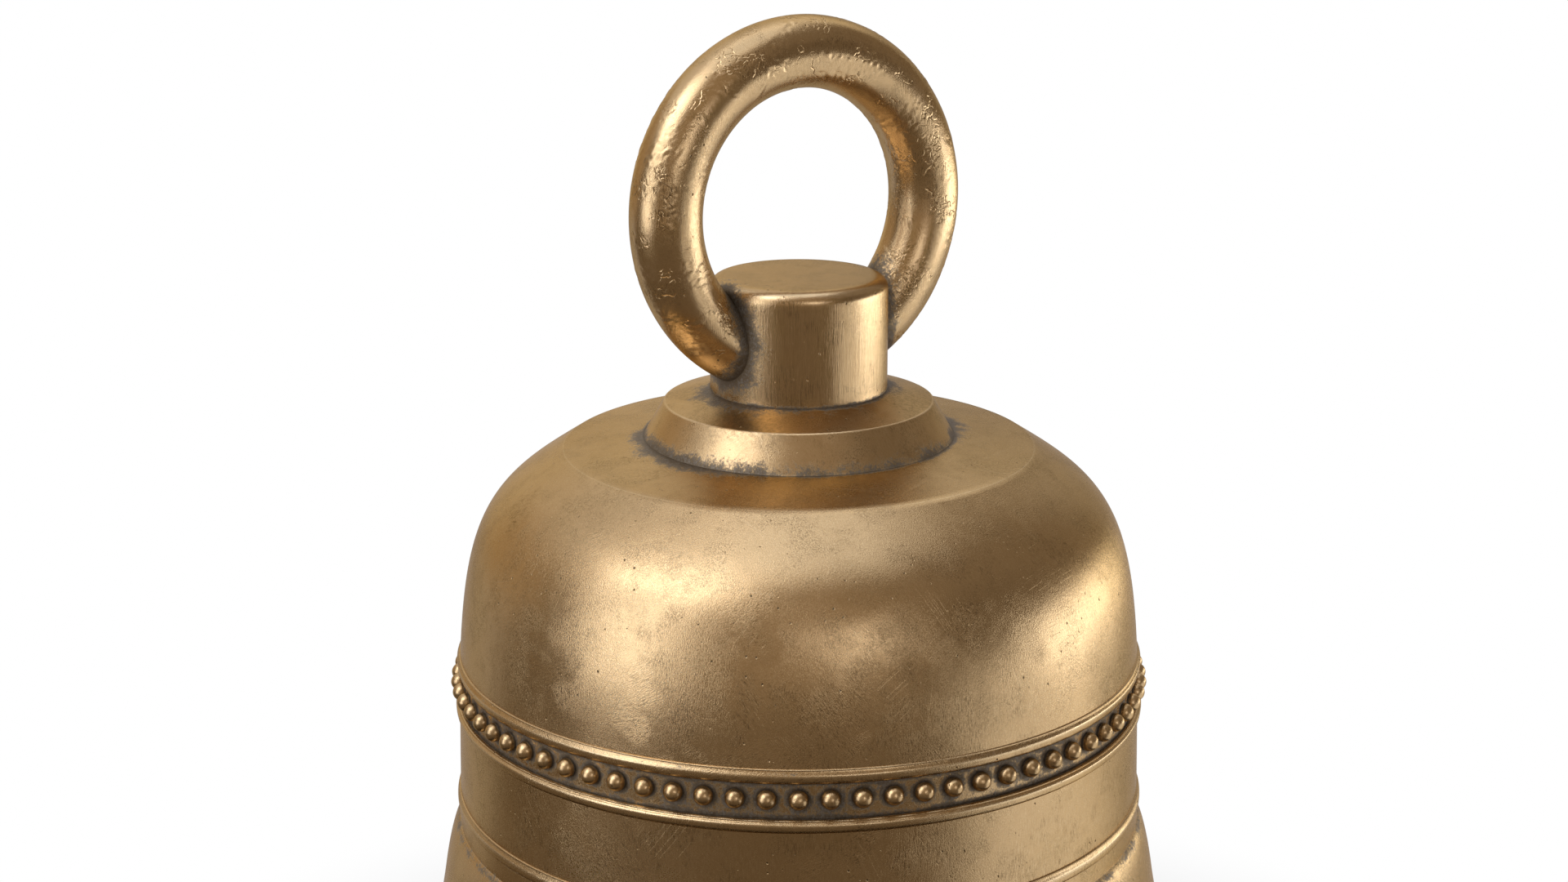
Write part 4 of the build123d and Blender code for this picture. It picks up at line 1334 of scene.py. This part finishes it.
def rubbed_eye(f):
    """Round the pin, where the washers and spacers bear."""
    return f.ramp(from_pin(f), 0.0155, 0.0110)


def rubbed_sides(f):
    """The two sides of the ball that strike, and a faint band about its waist."""
    striking = f.ramp(f.calc("ABSOLUTE", f.x), 0.0195, 0.0240)
    return f.most(striking, f.times(f.ramp(f.radius, 0.0235, 0.0250), 0.45))


def rubbed_end(f):
    """The foot of the flight, which knocks on things when the bell is set down."""
    return f.times(f.ramp(f.z, 0.0085, 0.0055), 0.45)


dress("clapper_staple", forged_iron("staple_iron", rubbed_eye))
dress("clapper_shank", forged_iron("shank_iron", rubbed_eye))
dress("clapper_ball", forged_iron("ball_iron", rubbed_sides))
dress("clapper_flight", forged_iron("flight_iron", rubbed_end))

# %% [markdown]
# ## Turned steel and bush bronze
#
# The nuts, washers and pins are plain turned steel, and the bush and spacers are a yellower bronze. A lathe
# leaves rings about the axis of the piece, so the finish asks each piece for its own distance from its axis.
# The steel has dulled and carries a few freckles of rust, and the bronze has darkened with grease.

# %% Turned metal
def from_stud(f):
    """Distance from the middle line of the stud, which is the bell's own axis."""
    return f.radius


def along_all(f):
    """For small pieces that were drawn and not turned: distance along a slope, for straight marks."""
    return f.plus(f.times(f.x, 0.3), f.times(f.y, 0.9))


def turned_metal(name, from_axis, clean, dull, spots, rough):
    """Metal off a lathe. clean and dull are its tones, and spots is the colour of its freckles."""
    f = Finish(name)
    rings = f.node("ShaderNodeTexNoise")
    rings.noise_dimensions = "1D"
    f.link(f.calc("DIVIDE", from_axis(f), 0.16 * MM), rings.inputs["W"])
    rings.inputs["Scale"].default_value = 1.0
    rings.inputs["Detail"].default_value = 2.0
    film, freckle = f.cloud(5, 4, 0.65), f.cloud(0.8, 4, 0.75)
    spotted = f.times(f.ramp(f.cloud(6, 2, 0.5), 0.5, 0.62), f.ramp(freckle, 0.52, 0.62))
    tone = f.mix(f.ramp(film, 0.35, 0.65), clean, dull)
    tone = f.mix(f.times(f.ramp(rings.outputs["Fac"], 0.45, 0.65), 0.35), tone, dull)
    tone = f.mix(f.times(spotted, 0.8), tone, spots)
    f.link(tone, f.shader.inputs["Base Color"])
    f.link(f.between(spotted, 1.0, 0.3), f.shader.inputs["Metallic"])
    f.link(f.plus(f.between(film, rough, rough + 0.12), f.times(spotted, 0.3)), f.shader.inputs["Roughness"])
    normal = f.relief(rings.outputs["Fac"], 0.03)
    f.link(f.relief(spotted, 0.05, normal), f.shader.inputs["Normal"])
    return f.done()


STEEL, DULL_STEEL = (0.5, 0.49, 0.47), (0.27, 0.26, 0.245)
BUSH_BRONZE, GREASED_BRONZE, GREASE = (0.64, 0.45, 0.2), (0.36, 0.24, 0.11), (0.05, 0.035, 0.02)
stud_steel = turned_metal("stud_steel", from_stud, STEEL, DULL_STEEL, RUST, 0.3)
pin_steel = turned_metal("pin_steel", from_pin, STEEL, DULL_STEEL, RUST, 0.27)
drawn_steel = turned_metal("drawn_steel", along_all, STEEL, DULL_STEEL, RUST, 0.33)
bush_metal = turned_metal("bush_metal", from_pin, BUSH_BRONZE, GREASED_BRONZE, GREASE, 0.26)
for node, metal in (
    ("stud_washer", stud_steel),
    ("crown_nut", stud_steel),
    ("lock_nut", stud_steel),
    ("pivot_pin", pin_steel),
    ("pin_washers", pin_steel),
    ("staple_dowel", drawn_steel),
    ("split_pin", drawn_steel),
    ("flight_pin", drawn_steel),
    ("pin_spacers", bush_metal),
    ("clapper_bush", bush_metal),
):
    dress(node, metal)
print("finished all", len(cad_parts), "nodes of the model")
